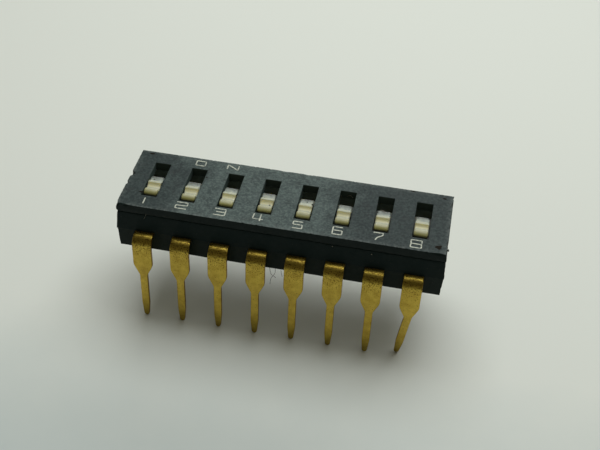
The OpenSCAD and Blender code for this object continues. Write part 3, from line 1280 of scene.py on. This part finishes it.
@dataclass
class Lead:
    """One contact with its formed lead, a bent strip with rounded edges.

    Heights are measured from the lead tips. Under its neck, the front lead of
    bent_position is bent sideways by bent_angle and in by bent_inward, in degrees.
    """

    position: int
    row: Row
    sheet: float = 0.25
    width: float = 1.29
    pin_width: float = 0.52
    tip_width: float = 0.36
    shoulder: float = 4.62
    taper: float = 0.86
    shoulder_ease: float = 0.19
    neck_ease: float = 0.11
    tip: float = 1.1
    tip_ease: float = 0.1
    bend_radius: float = 0.45
    flat_rings: int = 60
    bend_rings: int = 19
    lean: float = 1.1
    notch: float = 0.16
    notch_y: float = 2.52
    edge: float = 0.045
    bent_position: int = 8
    bent_angle: float = 6.6
    bent_inward: float = 5.0
    bent_reach: float = 0.4

    @property
    def neck(self) -> float:
        """Height at which the slopes end and the pin starts."""
        return self.shoulder - self.taper

    def build(self, material: Material) -> Piece:
        """Makes the lead by carrying its section along the strip's middle line.

        Args:
            material: Finish of the piece.

        Returns:
            The piece.
        """
        station = f"{self.row.name.lower()}_{self.position}"
        low, high = node_box(f"terminal_{station}")
        is_front = self.row is Row.FRONT
        pad, reach = (-high[1], -low[1]) if is_front else (low[1], high[1])
        middle, normal, half = self._path(float(pad), float(reach), float(high[2]))
        rings = self._section(middle, normal, half)
        rings[..., 0] += station_x(self.position)
        if is_front:
            rings[..., 1] *= -1
            rings = rings[:, ::-1]
        points, faces = carry_rings(rings)
        if is_front and self.position == self.bent_position:
            neck_y = -float(np.interp(-self.neck, -middle[:, 1], middle[:, 0]))
            self._bend_pin(points, neck_y)
        piece = make_piece(
            f"lead_{station}", points, faces, material, HOUSING, "lead_metal", crease=50
        )
        turned = np.degrees(np.arctan2(normal[:, 0], normal[:, 1]))
        add_attribute(piece, "bent", np.repeat(self._cracking(turned), rings.shape[1]))
        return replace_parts(piece, f"terminal_{station}")

    def _path(
        self, pad: float, reach: float, top: float
    ) -> tuple[np.ndarray, np.ndarray, np.ndarray]:
        """The strip's middle line, its outward normals and its half widths.

        The line runs flat from the pad, turns through a quarter circle less the
        lean, and goes straight down to the tip.

        Args:
            pad: Y of the pad's inner end.
            reach: Y of the outer face at the tip.
            top: Height of the strip's top face.

        Returns:
            Points (y, z), normals (y, z) and half widths.
        """
        lean = math.radians(self.lean)
        outer = self.bend_radius + self.sheet
        middle_radius = self.bend_radius + self.sheet / 2
        bend_z = top - outer
        fall = (bend_z + outer * math.sin(lean)) / math.cos(lean)
        bend_y = reach - outer * math.cos(lean) - fall * math.sin(lean)

        flat_y = np.linspace(pad, bend_y, self.flat_rings)[:-1]
        flat = np.column_stack([flat_y, np.full(len(flat_y), top - self.sheet / 2)])
        turn = np.linspace(math.pi / 2, lean, self.bend_rings)
        bend = np.column_stack([np.cos(turn), np.sin(turn)])
        curve = bend * middle_radius + [bend_y, bend_z]
        levels = self._levels(curve[-1, 1])
        run = (curve[-1, 1] - levels) / math.cos(lean)
        leg = curve[-1] + run[:, None] * np.array([math.sin(lean), -math.cos(lean)])

        notch = np.sqrt(np.clip(self.notch**2 - (flat_y - self.notch_y) ** 2, 0, None))
        half = np.concatenate([
            self.width / 2 - notch, np.full(len(turn), self.width / 2), self._half_width(levels)
        ])
        normals = np.concatenate([
            np.tile([0.0, 1.0], (len(flat), 1)), bend, np.tile(bend[-1], (len(leg), 1))
        ])
        return np.concatenate([flat, curve, leg]), normals, half

    def _levels(self, bend_end: float) -> np.ndarray:
        """The heights of the leg's rings, from the bend's end down to the tip.

        They stand close together after the bend, over the taper and round the tip.

        Args:
            bend_end: Height at which the bend ends.

        Returns:
            The heights, in falling order.
        """
        radius = self.tip_width / 2
        stretches = (
            (bend_end - 0.24, 7), (self.shoulder + 0.3, 5), (self.neck - 0.2, 30),
            (self.tip + 0.2, 6), (radius, 8),
        )
        levels, start = [], bend_end
        for end, count in stretches:
            levels.append(np.linspace(start, end, count)[1:])
            start = end
        levels.append(radius * (1 - np.cos(np.linspace(math.pi / 2, 0.1, 9)))[1:])
        return np.concatenate(levels)

    def _cracking(self, turned: np.ndarray) -> np.ndarray:
        """How cracked the flash is, 0 to 1, by the angle in degrees from the flat.

        It rises over the first 15 degrees of the bend and fades between 45 and 80.
        """
        return np.clip(turned / 15, 0, 1) * np.clip((80 - turned) / 35, 0, 1)

    def _half_width(self, z: np.ndarray) -> np.ndarray:
        """Half width of the leg at each height.

        Straight slopes join the lead, the pin and the tip. Each joint is eased
        by a parabola, and the end is a half circle of the tip's width.

        Args:
            z: The heights.

        Returns:
            One half width for each height.
        """
        def ramp(u: np.ndarray, ease: float) -> np.ndarray:
            """0 before a joint, u after it, and (u + ease)^2 / (4 ease) between."""
            return np.where(u < -ease, 0, np.where(u > ease, u, (u + ease) ** 2 / (4 * ease)))

        radius = self.tip_width / 2
        slope = (self.width - self.pin_width) / 2 / self.taper
        tip_slope = (self.pin_width - self.tip_width) / 2 / (self.tip - radius)
        half = self.width / 2 - slope * (
            ramp(self.shoulder - z, self.shoulder_ease) - ramp(self.neck - z, self.neck_ease)
        ) - tip_slope * ramp(self.tip - z, self.tip_ease)
        rounded = np.sqrt(np.clip(radius**2 - np.clip(radius - z, 0, None) ** 2, 1e-6, None))
        return np.where(z < radius, np.minimum(half, rounded), half)

    def _section(self, middle: np.ndarray, normal: np.ndarray, half: np.ndarray) -> np.ndarray:
        """Rings of a rounded rectangle that stands across the strip.

        Each corner is a quarter circle, smaller where the strip gets narrow.

        Args:
            middle: Points (y, z) of the strip's middle line.
            normal: Its outward normals (y, z).
            half: Its half widths.

        Returns:
            Array of shape (rings, points, 3).
        """
        quarter = np.linspace(0, math.pi / 2, 4)
        angles = np.concatenate([quarter + k * math.pi / 2 for k in range(4)])
        across, through = np.cos(angles), np.sin(angles)
        x_sign = np.repeat([1, -1, -1, 1], len(quarter))
        v_sign = np.repeat([1, 1, -1, -1], len(quarter))
        radius = np.minimum(self.edge, 0.8 * half)[:, None]
        x = x_sign * (half[:, None] - radius) + radius * across
        v = v_sign * (self.sheet / 2 - radius) + radius * through
        yz = middle[:, None] + v[..., None] * normal[:, None]
        return np.concatenate([x[..., None], yz], -1)[:, ::-1]

    def _bend_pin(self, points: np.ndarray, neck_y: float) -> None:
        """Turns what lies under the neck, first sideways, then in under the housing.

        The angle grows to its full value over bent_reach, as u * (2 - u).

        Args:
            points: The lead's points, which it moves.
            neck_y: Y of the strip's middle at the neck.
        """
        neck = self.neck
        turns = ((0, station_x(self.position), -self.bent_angle), (1, neck_y, self.bent_inward))
        for axis, pivot, degrees in turns:
            drop = np.clip(neck - points[:, 2], 0, None)
            ease = np.clip(drop / self.bent_reach, 0, 1)
            angle = np.radians(degrees) * ease * (2 - ease)
            off = points[:, axis] - pivot
            below = drop > 0
            points[:, axis] = np.where(
                below, pivot + off * np.cos(angle) + drop * np.sin(angle), points[:, axis]
            )
            points[:, 2] = np.where(
                below, neck - drop * np.cos(angle) + off * np.sin(angle), points[:, 2]
            )


# ---- Sliders ----


@dataclass
class Slider:
    """One moulded slider: a ridged knob on a plate with two runners and a peg.

    Each point stores how low it lies, which gets painted shade; its share of the
    way from the knob's rear to its front; how far it is yellowed and shaded; and
    how far it lies on the groove's rear half, which gets painted light.
    """

    position: int
    knob_width: float = 0.92
    knob_length: float = 1.95
    knob_shift: float = 0.06
    plate_thickness: float = 0.75
    ridge_height: float = 0.7
    groove_depth: float = 0.22
    groove_radius: float = 0.32
    groove_place: float = 0.8
    front_radius: float = 0.45
    step_length: float = 0.65
    step_height: float = 0.17
    runner_width: float = 0.28
    runner_lap: float = 0.3
    knob_lap: float = 0.2
    peg: float = 0.14
    peg_head: float = 0.2
    peg_length: float = 0.12
    head_height: float = 0.06
    rim: float = 0.11
    block_rim: float = 0.04
    outline_step: float = 0.025
    outline_ease: float = 0.055
    groove_points: int = 15
    front_points: int = 9
    peg_points: int = 24
    low: np.ndarray = field(init=False)
    high: np.ndarray = field(init=False)
    x: float = field(init=False)
    y: float = field(init=False)
    ridge: float = field(init=False)
    plate_top: float = field(init=False)
    plate_bottom: float = field(init=False)

    def __post_init__(self) -> None:
        """Takes the place and the heights from the CAD node."""
        self.low, self.high = node_box(f"slider_{self.position}")
        self.x, self.y = (float(side) for side in (self.low[:2] + self.high[:2]) / 2)
        self.ridge = float(self.high[2])
        self.plate_top = self.ridge - self.ridge_height
        self.plate_bottom = self.plate_top - self.plate_thickness

    def build(self, material: Material) -> Piece:
        """Makes the slider, which stands for the CAD node.

        Args:
            material: Finish of the piece.

        Returns:
            The piece.
        """
        knob, knob_faces = rounded_prism(self._knob_outline(), self.knob_width / 2, self.rim)
        knob = knob + [self.x, self.y + self.knob_shift, 0]
        points, faces = join_parts([(knob, knob_faces), *self._blocks(), self._rivet()])
        piece = make_piece(
            f"ridged_slider_{self.position}", points, faces, material,
            f"switch_{self.position}", "slider_plastic", crease=35,
        )
        self._store_tints_and_shade(piece, points)
        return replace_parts(piece, f"slider_{self.position}")

    def _blocks(self) -> list[Shell]:
        """The plate, and a runner under each of its sides."""
        (left, front, foot), (right, back, _) = self.low, self.high
        lap = self.plate_bottom + self.runner_lap
        spans = (
            (left, right, self.plate_bottom, self.plate_top),
            (left, left + self.runner_width, foot, lap),
            (right - self.runner_width, right, foot, lap),
        )
        return [
            rounded_block((start, front, bottom), (end, back, top), self.block_rim)
            for start, end, bottom, top in spans
        ]

    def _store_tints_and_shade(self, piece: Piece, points: np.ndarray) -> None:
        """Stores where the slider is low, how far forward it lies, and its yellowing and shade.

        With d the depth below the ridges and s the share from the rear to the
        front: the front is low from d = 0.1 to 0.24, the rest from 0.3 to 0.6; low
        parts get painted shade. Yellow, partly yellowing and partly painted shade, rises
        from s = 0.72 to 0.95. The hollow, painted paler as painted light, is the
        groove's rear half.

        Args:
            piece: The slider's piece.
            points: Its points.
        """
        share = 0.5 - (points[:, 1] - self.y - self.knob_shift) / self.knob_length
        depth = self.ridge - points[:, 2]
        groove = self.groove_place / self.knob_length
        ahead = share - 1 + groove
        # The groove's rear half, which its material paints paler as painted light.
        hollow = np.clip(-ahead / 0.06, 0, 1) * np.clip(depth / 0.04, 0, 1) * (ahead > -0.17)
        # How low each point lies, which its material paints as shade.
        low = np.where(share > 0.8, (depth - 0.1) / 0.14, (depth - 0.3) / 0.3)
        # Yellowing and painted shade towards the front.
        yellowing_and_shade = (share - 0.72) / 0.23
        stored = {"low": low, "front": share, "yellowing_and_shade": yellowing_and_shade, "hollow": hollow}
        for name, values in stored.items():
            add_attribute(piece, name, np.clip(values, 0, 1))

    def _knob_outline(self) -> np.ndarray:
        """The knob seen from the end of the row, from inside its plate up.

        Corners run anticlockwise: along the bottom, up the rear, over the step
        and the rear ridge, round the groove, over the front ridge, and down a
        quarter circle at the front. Then every corner is eased, and the ridges
        are worn by uneven waves of 0.01 mm.
        """
        base = self.plate_top - self.knob_lap
        half = self.knob_length / 2
        step = self.ridge - self.step_height
        middle = self.ridge + self.groove_radius - self.groove_depth
        spread = math.acos((self.groove_radius - self.groove_depth) / self.groove_radius)
        turn = np.linspace(spread, -spread, self.groove_points)
        groove = np.column_stack([
            self.groove_place - half + self.groove_radius * np.sin(turn),
            middle - self.groove_radius * np.cos(turn),
        ])
        quarter = np.linspace(math.pi / 2, math.pi, self.front_points)
        front = np.column_stack([
            self.front_radius - half + self.front_radius * np.cos(quarter),
            self.ridge - self.front_radius + self.front_radius * np.sin(quarter),
        ])
        rear = half - self.step_length
        corners = [[-half, base], [half, base], [half, step], [rear, step], [rear, self.ridge]]
        sharp = np.vstack([corners, groove, front])
        outline = round_off(sharp, self.outline_step, self.outline_ease, True)
        rise = np.clip((outline[:, 1] - self.plate_top - 0.3) / 0.2, 0, 1)
        outline[:, 1] += 0.01 * uneven(outline[:, 0], 0.9, 300 + self.position) * rise - 0.005
        return outline

    def _rivet(self) -> Shell:
        """The peg through the bridge and its riveted head, a turned profile."""
        shoulder = self.plate_bottom - self.peg_length
        bottom = shoulder - self.head_height
        profile = np.array([
            [0.03, bottom], [0.7 * self.peg_head, bottom + 0.004],
            [self.peg_head, (bottom + shoulder) / 2], [self.peg_head, shoulder],
            [self.peg, shoulder], [self.peg, self.plate_bottom + 0.1],
        ])
        angles = np.linspace(0, 2 * math.pi, self.peg_points, endpoint=False)
        rings = np.stack([
            self.x + profile[:, :1] * np.cos(angles),
            self.y + profile[:, :1] * np.sin(angles),
            np.broadcast_to(profile[:, 1:], (len(profile), len(angles))),
        ], -1)
        return carry_rings(rings)


# ---- Print ----


@dataclass(frozen=True)
class Glyph:
    """A printed sign: strokes through points of a box one wide and one high.

    Where it is closed, its first stroke runs back to its start.
    """

    strokes: tuple[tuple[tuple[float, float], ...], ...]
    closed: bool = False


GLYPHS: dict[str, Glyph] = {
    "1": Glyph((((0.5, 0), (0.5, 1)),)),
    "2": Glyph((((0, 1), (1, 1), (1, 0.52), (0, 0.48), (0, 0), (1, 0)),)),
    "3": Glyph((((0, 1), (1, 1), (1, 0), (0, 0)), ((0.2, 0.5), (0.95, 0.5)))),
    "4": Glyph((((0.05, 1), (0, 0.25), (1, 0.25)), ((0.72, 0.95), (0.72, 0)))),
    "5": Glyph((((1, 1), (0, 1), (0, 0.54), (1, 0.54), (1, 0), (0, 0)),)),
    "6": Glyph((((1, 1), (0, 1), (0, 0), (1, 0), (1, 0.54), (0.05, 0.54)),)),
    "7": Glyph((((0, 1), (1, 1), (1, 0.72), (0.45, 0.35), (0.3, 0)),)),
    "8": Glyph((
        ((0, 1), (0, 0.6), (0.12, 0.5), (0, 0.4), (0, 0),
         (1, 0), (1, 0.4), (0.88, 0.5), (1, 0.6), (1, 1)),
        ((0.1, 0.5), (0.9, 0.5)),
    ), True),
    "O": Glyph((((0, 1), (0, 0), (1, 0), (1, 1)),), True),
    "N": Glyph((((0, 0), (0, 1), (1, 0), (1, 1)),)),
}


@dataclass(frozen=True)
class Place:
    """Middle and size of a printed sign on the cover, in millimetres."""

    x: float
    y: float
    width: float
    height: float


@dataclass
class Print:
    """The position numbers in front of the slots and ON behind them.

    A second stroke lies higher by its own lift, so that it never meets the first.
    """

    digits: tuple[Place, ...] = (
        Place(-9.01, -2.23, 0.12, 0.66), Place(-6.52, -2.15, 0.82, 0.68),
        Place(-3.98, -2.20, 0.82, 0.68), Place(-1.47, -2.13, 0.75, 0.75),
        Place(1.13, -2.27, 0.69, 0.71), Place(3.69, -2.23, 0.69, 0.77),
        Place(6.26, -2.17, 0.70, 0.77), Place(8.71, -2.31, 0.77, 0.77),
    )
    word: tuple[Place, ...] = (Place(-6.43, 2.35, 0.72, 0.55), Place(-4.22, 2.42, 0.82, 0.53))
    stroke: float = 0.08
    film: float = 0.012
    sunk: float = 0.006
    lift: float = 0.003
    step: float = 0.02
    ease: float = 0.06

    def build(self, material: Material, top: float) -> list[Piece]:
        """Makes one thin piece of ink for each sign.

        Args:
            material: Finish of the ink.
            top: Height of the cover's top face.

        Returns:
            The pieces.
        """
        signs = [*zip("12345678", self.digits), *zip("ON", self.word)]
        return [self._sign(sign, place, top, material) for sign, place in signs]

    def _sign(
        self, sign: str, place: Place, top: float, material: Material
    ) -> Piece:
        """One sign, whose strokes are flat strips carried along eased lines.

        Args:
            sign: The sign, a key of GLYPHS.
            place: Its middle and size.
            top: Height of the cover's top face.
            material: Finish of the ink.

        Returns:
            The piece.
        """
        glyph = GLYPHS[sign]
        size = np.clip([place.width - self.stroke, place.height - self.stroke], 0, None)
        parts = []
        for k, stroke in enumerate(glyph.strokes):
            closed = glyph.closed and k == 0
            corners = (np.array(stroke) - 0.5) * size + [place.x, place.y]
            line = round_off(corners, self.step, self.ease, closed)
            half, low, high = self.stroke / 2, top - self.sunk, top + self.film + self.lift * k
            section = ((half, low), (-half, low), (-half, high), (half, high))
            parts.append(carry_section(line, normals_of(line, closed), section, closed))
        return make_piece(f"print_{sign}", *join_parts(parts), material, HOUSING)


# ---- Dirt ----


class Stuff(Enum):
    """What clings to the switch: pale lint or dark grime."""

    LINT = "lint"
    GRIME = "grime"


@dataclass(frozen=True)
class Strand:
    """A fibre through points (x, y, z), in millimetres."""

    name: str
    stuff: Stuff
    route: tuple[tuple[float, float, float], ...]
    thickness: float = 0.025
    body: str = HOUSING


@dataclass(frozen=True)
class Speck:
    """A lump or a flat smudge: its middle, its half sizes and its carrier."""

    name: str
    stuff: Stuff
    place: tuple[float, float, float]
    size: tuple[float, float, float]
    body: str = HOUSING


STRANDS = (
    Strand("hair_under_4_5_a", Stuff.GRIME, (
        (-0.54, -2.72, 5.4), (-0.45, -2.72, 4.76), (-0.32, -2.72, 4.57), (-0.09, -2.72, 4.37))),
    Strand("hair_under_4_5_b", Stuff.GRIME, (
        (-0.15, -2.75, 5.4), (-0.18, -2.75, 4.74), (-0.36, -2.75, 4.40), (-0.47, -2.75, 3.74))),
    Strand("hair_under_5", Stuff.GRIME, ((0.24, -2.8, 5.4), (0.28, -2.8, 5.0), (0.35, -2.8, 4.67))),
    Strand("hair_front_1", Stuff.LINT, (
        (-9.45, -2.885, 7.03), (-9.22, -2.89, 7.43), (-8.92, -2.9, 7.89), (-8.67, -2.95, 8.5)),
        0.012),
    Strand("fibre_slot_6_a", Stuff.LINT, (
        (3.23, 1.75, 8.6), (3.3, 1.745, 8.5), (3.42, 1.75, 8.38))),
    Strand("fibre_slot_6_b", Stuff.LINT, (
        (3.72, 1.75, 8.52), (3.86, 1.745, 8.62), (4.0, 1.745, 8.6), (4.13, 1.75, 8.46))),
    Strand("fibre_knob_7", Stuff.LINT, (
        (6.05, 0.47, 8.72), (6.14, 0.49, 8.86), (6.28, 0.46, 8.85), (6.4, 0.42, 8.85)),
        0.035, "switch_7"),
    Strand("fibre_knob_8", Stuff.LINT, (
        (8.42, 0.5, 8.72), (8.435, 0.35, 8.82), (8.45, 0.1, 8.84)), 0.02, "switch_8"),
)
SPECKS = (
    Speck("speck_cover_2", Stuff.GRIME, (-5.68, 0.99, 8.95), (0.05, 0.07, 0.01)),
    Speck("smudge_cover_1", Stuff.GRIME, (-9.45, -1.42, 8.952), (0.16, 0.07, 0.01)),
    Speck("smudge_corner", Stuff.GRIME, (10.12, -2.3, 8.952), (0.2, 0.17, 0.01)),
    Speck("scuff_back_right", Stuff.GRIME, (10.1, 2.5, 8.952), (0.14, 0.06, 0.01)),
    Speck("burr_right", Stuff.GRIME, (10.72, -2.39, 8.9), (0.07, 0.09, 0.04)),
    Speck("speck_front_5", Stuff.LINT, (3.53, -2.9, 8.17), (0.035, 0.02, 0.03)),
    Speck("speck_front_6", Stuff.LINT, (6.05, -2.9, 8.02), (0.03, 0.02, 0.03)),
    Speck("speck_front_7", Stuff.LINT, (6.19, -2.89, 7.17), (0.03, 0.02, 0.03)),
    Speck("speck_knob_1", Stuff.GRIME, (-9.05, 0.16, 8.83), (0.05, 0.04, 0.015), "switch_1"),
    Speck("speck_knob_4_a", Stuff.GRIME, (-1.5, -0.05, 8.85), (0.03, 0.04, 0.015), "switch_4"),
    Speck("speck_knob_4_b", Stuff.GRIME, (-1.04, -0.62, 8.8), (0.05, 0.03, 0.015), "switch_4"),
    Speck("speck_knob_5_a", Stuff.GRIME, (1.3, 0.2, 8.83), (0.03, 0.05, 0.015), "switch_5"),
    Speck("speck_knob_5_b", Stuff.GRIME, (1.645, 0.02, 8.8), (0.05, 0.12, 0.05), "switch_5"),
    Speck("speck_knob_5_c", Stuff.GRIME, (1.43, -0.5, 8.8), (0.05, 0.05, 0.012), "switch_5"),
    Speck("streak_knob_6", Stuff.GRIME, (3.72, -0.5, 8.8), (0.22, 0.02, 0.012), "switch_6"),
    Speck("smudge_back_left", Stuff.GRIME, (-9.95, 2.63, 8.952), (0.19, 0.08, 0.01)),
    Speck("smudge_back_right", Stuff.GRIME, (7.99, 2.77, 8.952), (0.16, 0.05, 0.01)),
)


@dataclass
class Dirt:
    """The fibres and specks that cling to the switch."""

    strands: tuple[Strand, ...] = STRANDS
    specks: tuple[Speck, ...] = SPECKS
    strand_rings: int = 24
    strand_points: int = 8
    speck_rings: int = 9
    speck_points: int = 18

    def build(self, finishes: dict[Stuff, Material]) -> list[Piece]:
        """Lays the fibres and specks where they cling.

        Args:
            finishes: Finish of each stuff.

        Returns:
            The pieces.
        """
        pieces = [self._strand(strand, finishes[strand.stuff]) for strand in self.strands]
        for seed, speck in enumerate(self.specks):
            pieces.append(self._speck(speck, finishes[speck.stuff], seed))
        return pieces

    def _strand(self, strand: Strand, material: Material) -> Piece:
        """A round fibre carried along a curve through the route's points.

        The curve is a polynomial in the share of the way along, fitted through
        the points, and each ring stands square to it.

        Args:
            strand: The fibre's route and size.
            material: Its finish.

        Returns:
            The piece.
        """
        route = np.array(strand.route)
        share = np.linspace(0, 1, len(route))
        fine = np.linspace(0, 1, self.strand_rings)
        line = np.stack([
            np.polyval(np.polyfit(share, route[:, k], len(route) - 1), fine) for k in range(3)
        ], -1)
        ahead = np.gradient(line, axis=0)
        ahead /= np.linalg.norm(ahead, axis=1)[:, None]
        side = np.cross(ahead, [0.3, 0.9, 0.1])
        side /= np.linalg.norm(side, axis=1)[:, None]
        up = np.cross(ahead, side)
        angles = np.linspace(0, 2 * math.pi, self.strand_points, endpoint=False)
        across, over = (turn(angles)[None, :, None] for turn in (np.cos, np.sin))
        rings = line[:, None] + strand.thickness / 2 * (across * side[:, None] + over * up[:, None])
        return make_piece(strand.name, *carry_rings(rings), material, strand.body)

    def _speck(self, speck: Speck, material: Material, seed: int) -> Piece:
        """An uneven lump: a ball whose radius waves with both of its angles.

        With t round it and a down it, the radius is
        1 + (0.3 sin(3t + seed) + 0.2 sin(5t)) * sin(2a + seed).

        Args:
            speck: The lump's place and size.
            material: Its finish.
            seed: Shift of the waves, so that no two lumps are alike.

        Returns:
            The piece.
        """
        tall = np.linspace(0.05, math.pi - 0.05, self.speck_rings)[:, None]
        turn = np.linspace(0, 2 * math.pi, self.speck_points, endpoint=False)[None]
        waves = 0.3 * np.sin(3 * turn + seed) + 0.2 * np.sin(5 * turn)
        radius = 1 + waves * np.sin(2 * tall + seed)
        level = radius * np.sin(tall)
        rings = np.stack([level * np.cos(turn), level * np.sin(turn), -radius * np.cos(tall)], -1)
        shell = carry_rings(rings * speck.size + speck.place)
        return make_piece(speck.name, *shell, material, speck.body)


# ---- Studio ----


@dataclass(frozen=True)
class SoftBox:
    """A rectangular lamp that faces the origin: place and size in millimetres."""

    name: str
    place: tuple[float, float, float]
    size: tuple[float, float]
    power: float
    colour: str = "#FFFFFF"

    def build(self) -> None:
        """Makes the lamp."""
        data = bpy.data.lights.new(self.name, "AREA")
        data.shape = "RECTANGLE"
        data.size, data.size_y = (side * MM for side in self.size)
        data.energy = self.power
        data.color = linear(self.colour)[:3]
        lamp = bpy.data.objects.new(self.name, data)
        lamp.location = Vector(self.place) * MM
        lamp.rotation_euler = Vector(self.place).to_track_quat("Z", "Y").to_euler()
        bpy.context.scene.collection.objects.link(lamp)


@dataclass
class Studio:
    """Floor, light and camera, with places in millimetres and angles in degrees."""

    floor_size: float = 1500.0
    lamps: tuple[SoftBox, ...] = (
        SoftBox("overhead", (9.0, 50.0, 148.0), (160.0, 104.0), 0.209),
        SoftBox("behind", (40.0, 260.0, 130.0), (300.0, 150.0), 0.27),
    )
    sky: str = "#605B4C"
    sensor_width: float = 36.0
    focal_length: float = 59.76
    eye: tuple[float, float, float] = (8.784, -48.756, 51.126)
    azimuth: float = -9.16
    elevation: float = 41.83
    roll: float = 2.77

    def build(self) -> None:
        """Makes the floor, the lamps, the sky and the camera."""
        self._floor()
        for lamp in self.lamps:
            lamp.build()
        self._sky()
        self._camera()

    def _floor(self) -> None:
        """A level square of card under the lead tips."""
        corners = np.column_stack([SQUARE * self.floor_size / 2, np.zeros(4)])
        mesh = bpy.data.meshes.new("floor")
        mesh.from_pydata((corners * MM).tolist(), [], [(0, 1, 2, 3)])
        mesh.materials.append(Card().material())
        floor = bpy.data.objects.new("floor", mesh)
        bpy.context.scene.collection.objects.link(floor)

    def _sky(self) -> None:
        """A dim, even sky all round."""
        world = bpy.data.worlds.new("studio")
        world.use_nodes = True
        world.node_tree.nodes["Background"].inputs["Color"].default_value = linear(self.sky)
        bpy.context.scene.world = world

    def _camera(self) -> None:
        """A camera that looks down at the switch from the front."""
        turn, rise, roll = (math.radians(a) for a in (self.azimuth, self.elevation, self.roll))
        forward = Vector((
            math.sin(turn) * math.cos(rise), math.cos(turn) * math.cos(rise), -math.sin(rise)
        ))
        level = Vector((math.cos(turn), -math.sin(turn), 0))
        upright = level.cross(forward)
        right = math.cos(roll) * level + math.sin(roll) * upright
        top = -math.sin(roll) * level + math.cos(roll) * upright
        data = bpy.data.cameras.new("camera")
        data.sensor_width = self.sensor_width
        data.lens = self.focal_length
        data.clip_start = 1 * MM
        data.clip_end = 10_000 * MM
        camera = bpy.data.objects.new("camera", data)
        axes = Matrix((right, top, -forward)).transposed().to_4x4()
        camera.matrix_world = Matrix.Translation(Vector(self.eye) * MM) @ axes
        bpy.context.scene.collection.objects.link(camera)
        bpy.context.scene.camera = camera


# ---- The whole switch ----


def dress_nodes(prefix: str, material: Material) -> None:
    """Gives a material to every CAD node whose name starts with a prefix.

    Args:
        prefix: Start of the nodes' names.
        material: Their finish.
    """
    for name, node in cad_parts.items():
        if name.startswith(prefix):
            node.data.materials.clear()
            node.data.materials.append(material)


def main() -> None:
    """Builds the studio and the switch, and reports each piece."""
    logging.basicConfig(level=logging.INFO, format="%(message)s")
    bpy.context.scene.view_settings.view_transform = "Standard"
    Studio().build()

    metal = GoldFlash().material()
    nylon = SliderNylon().material()
    dress_nodes("bridge_", metal)
    base, cover = Base(), Cover()
    pieces = [base.build(base.finish().material()), cover.build(CoverPolyester().material())]
    for position in range(1, POSITIONS + 1):
        pieces.append(Slider(position).build(nylon))
        pieces += [Lead(position, row).build(metal) for row in Row]
    pieces += Print().build(PrintInk().material(), cover.top)
    pieces += Dirt().build({Stuff.LINT: Lint().material(), Stuff.GRIME: Grime().material()})
    for piece in pieces:
        log.info("%s: %d faces", piece.name, len(piece.data.polygons))


if __name__ == "__main__":
    main()
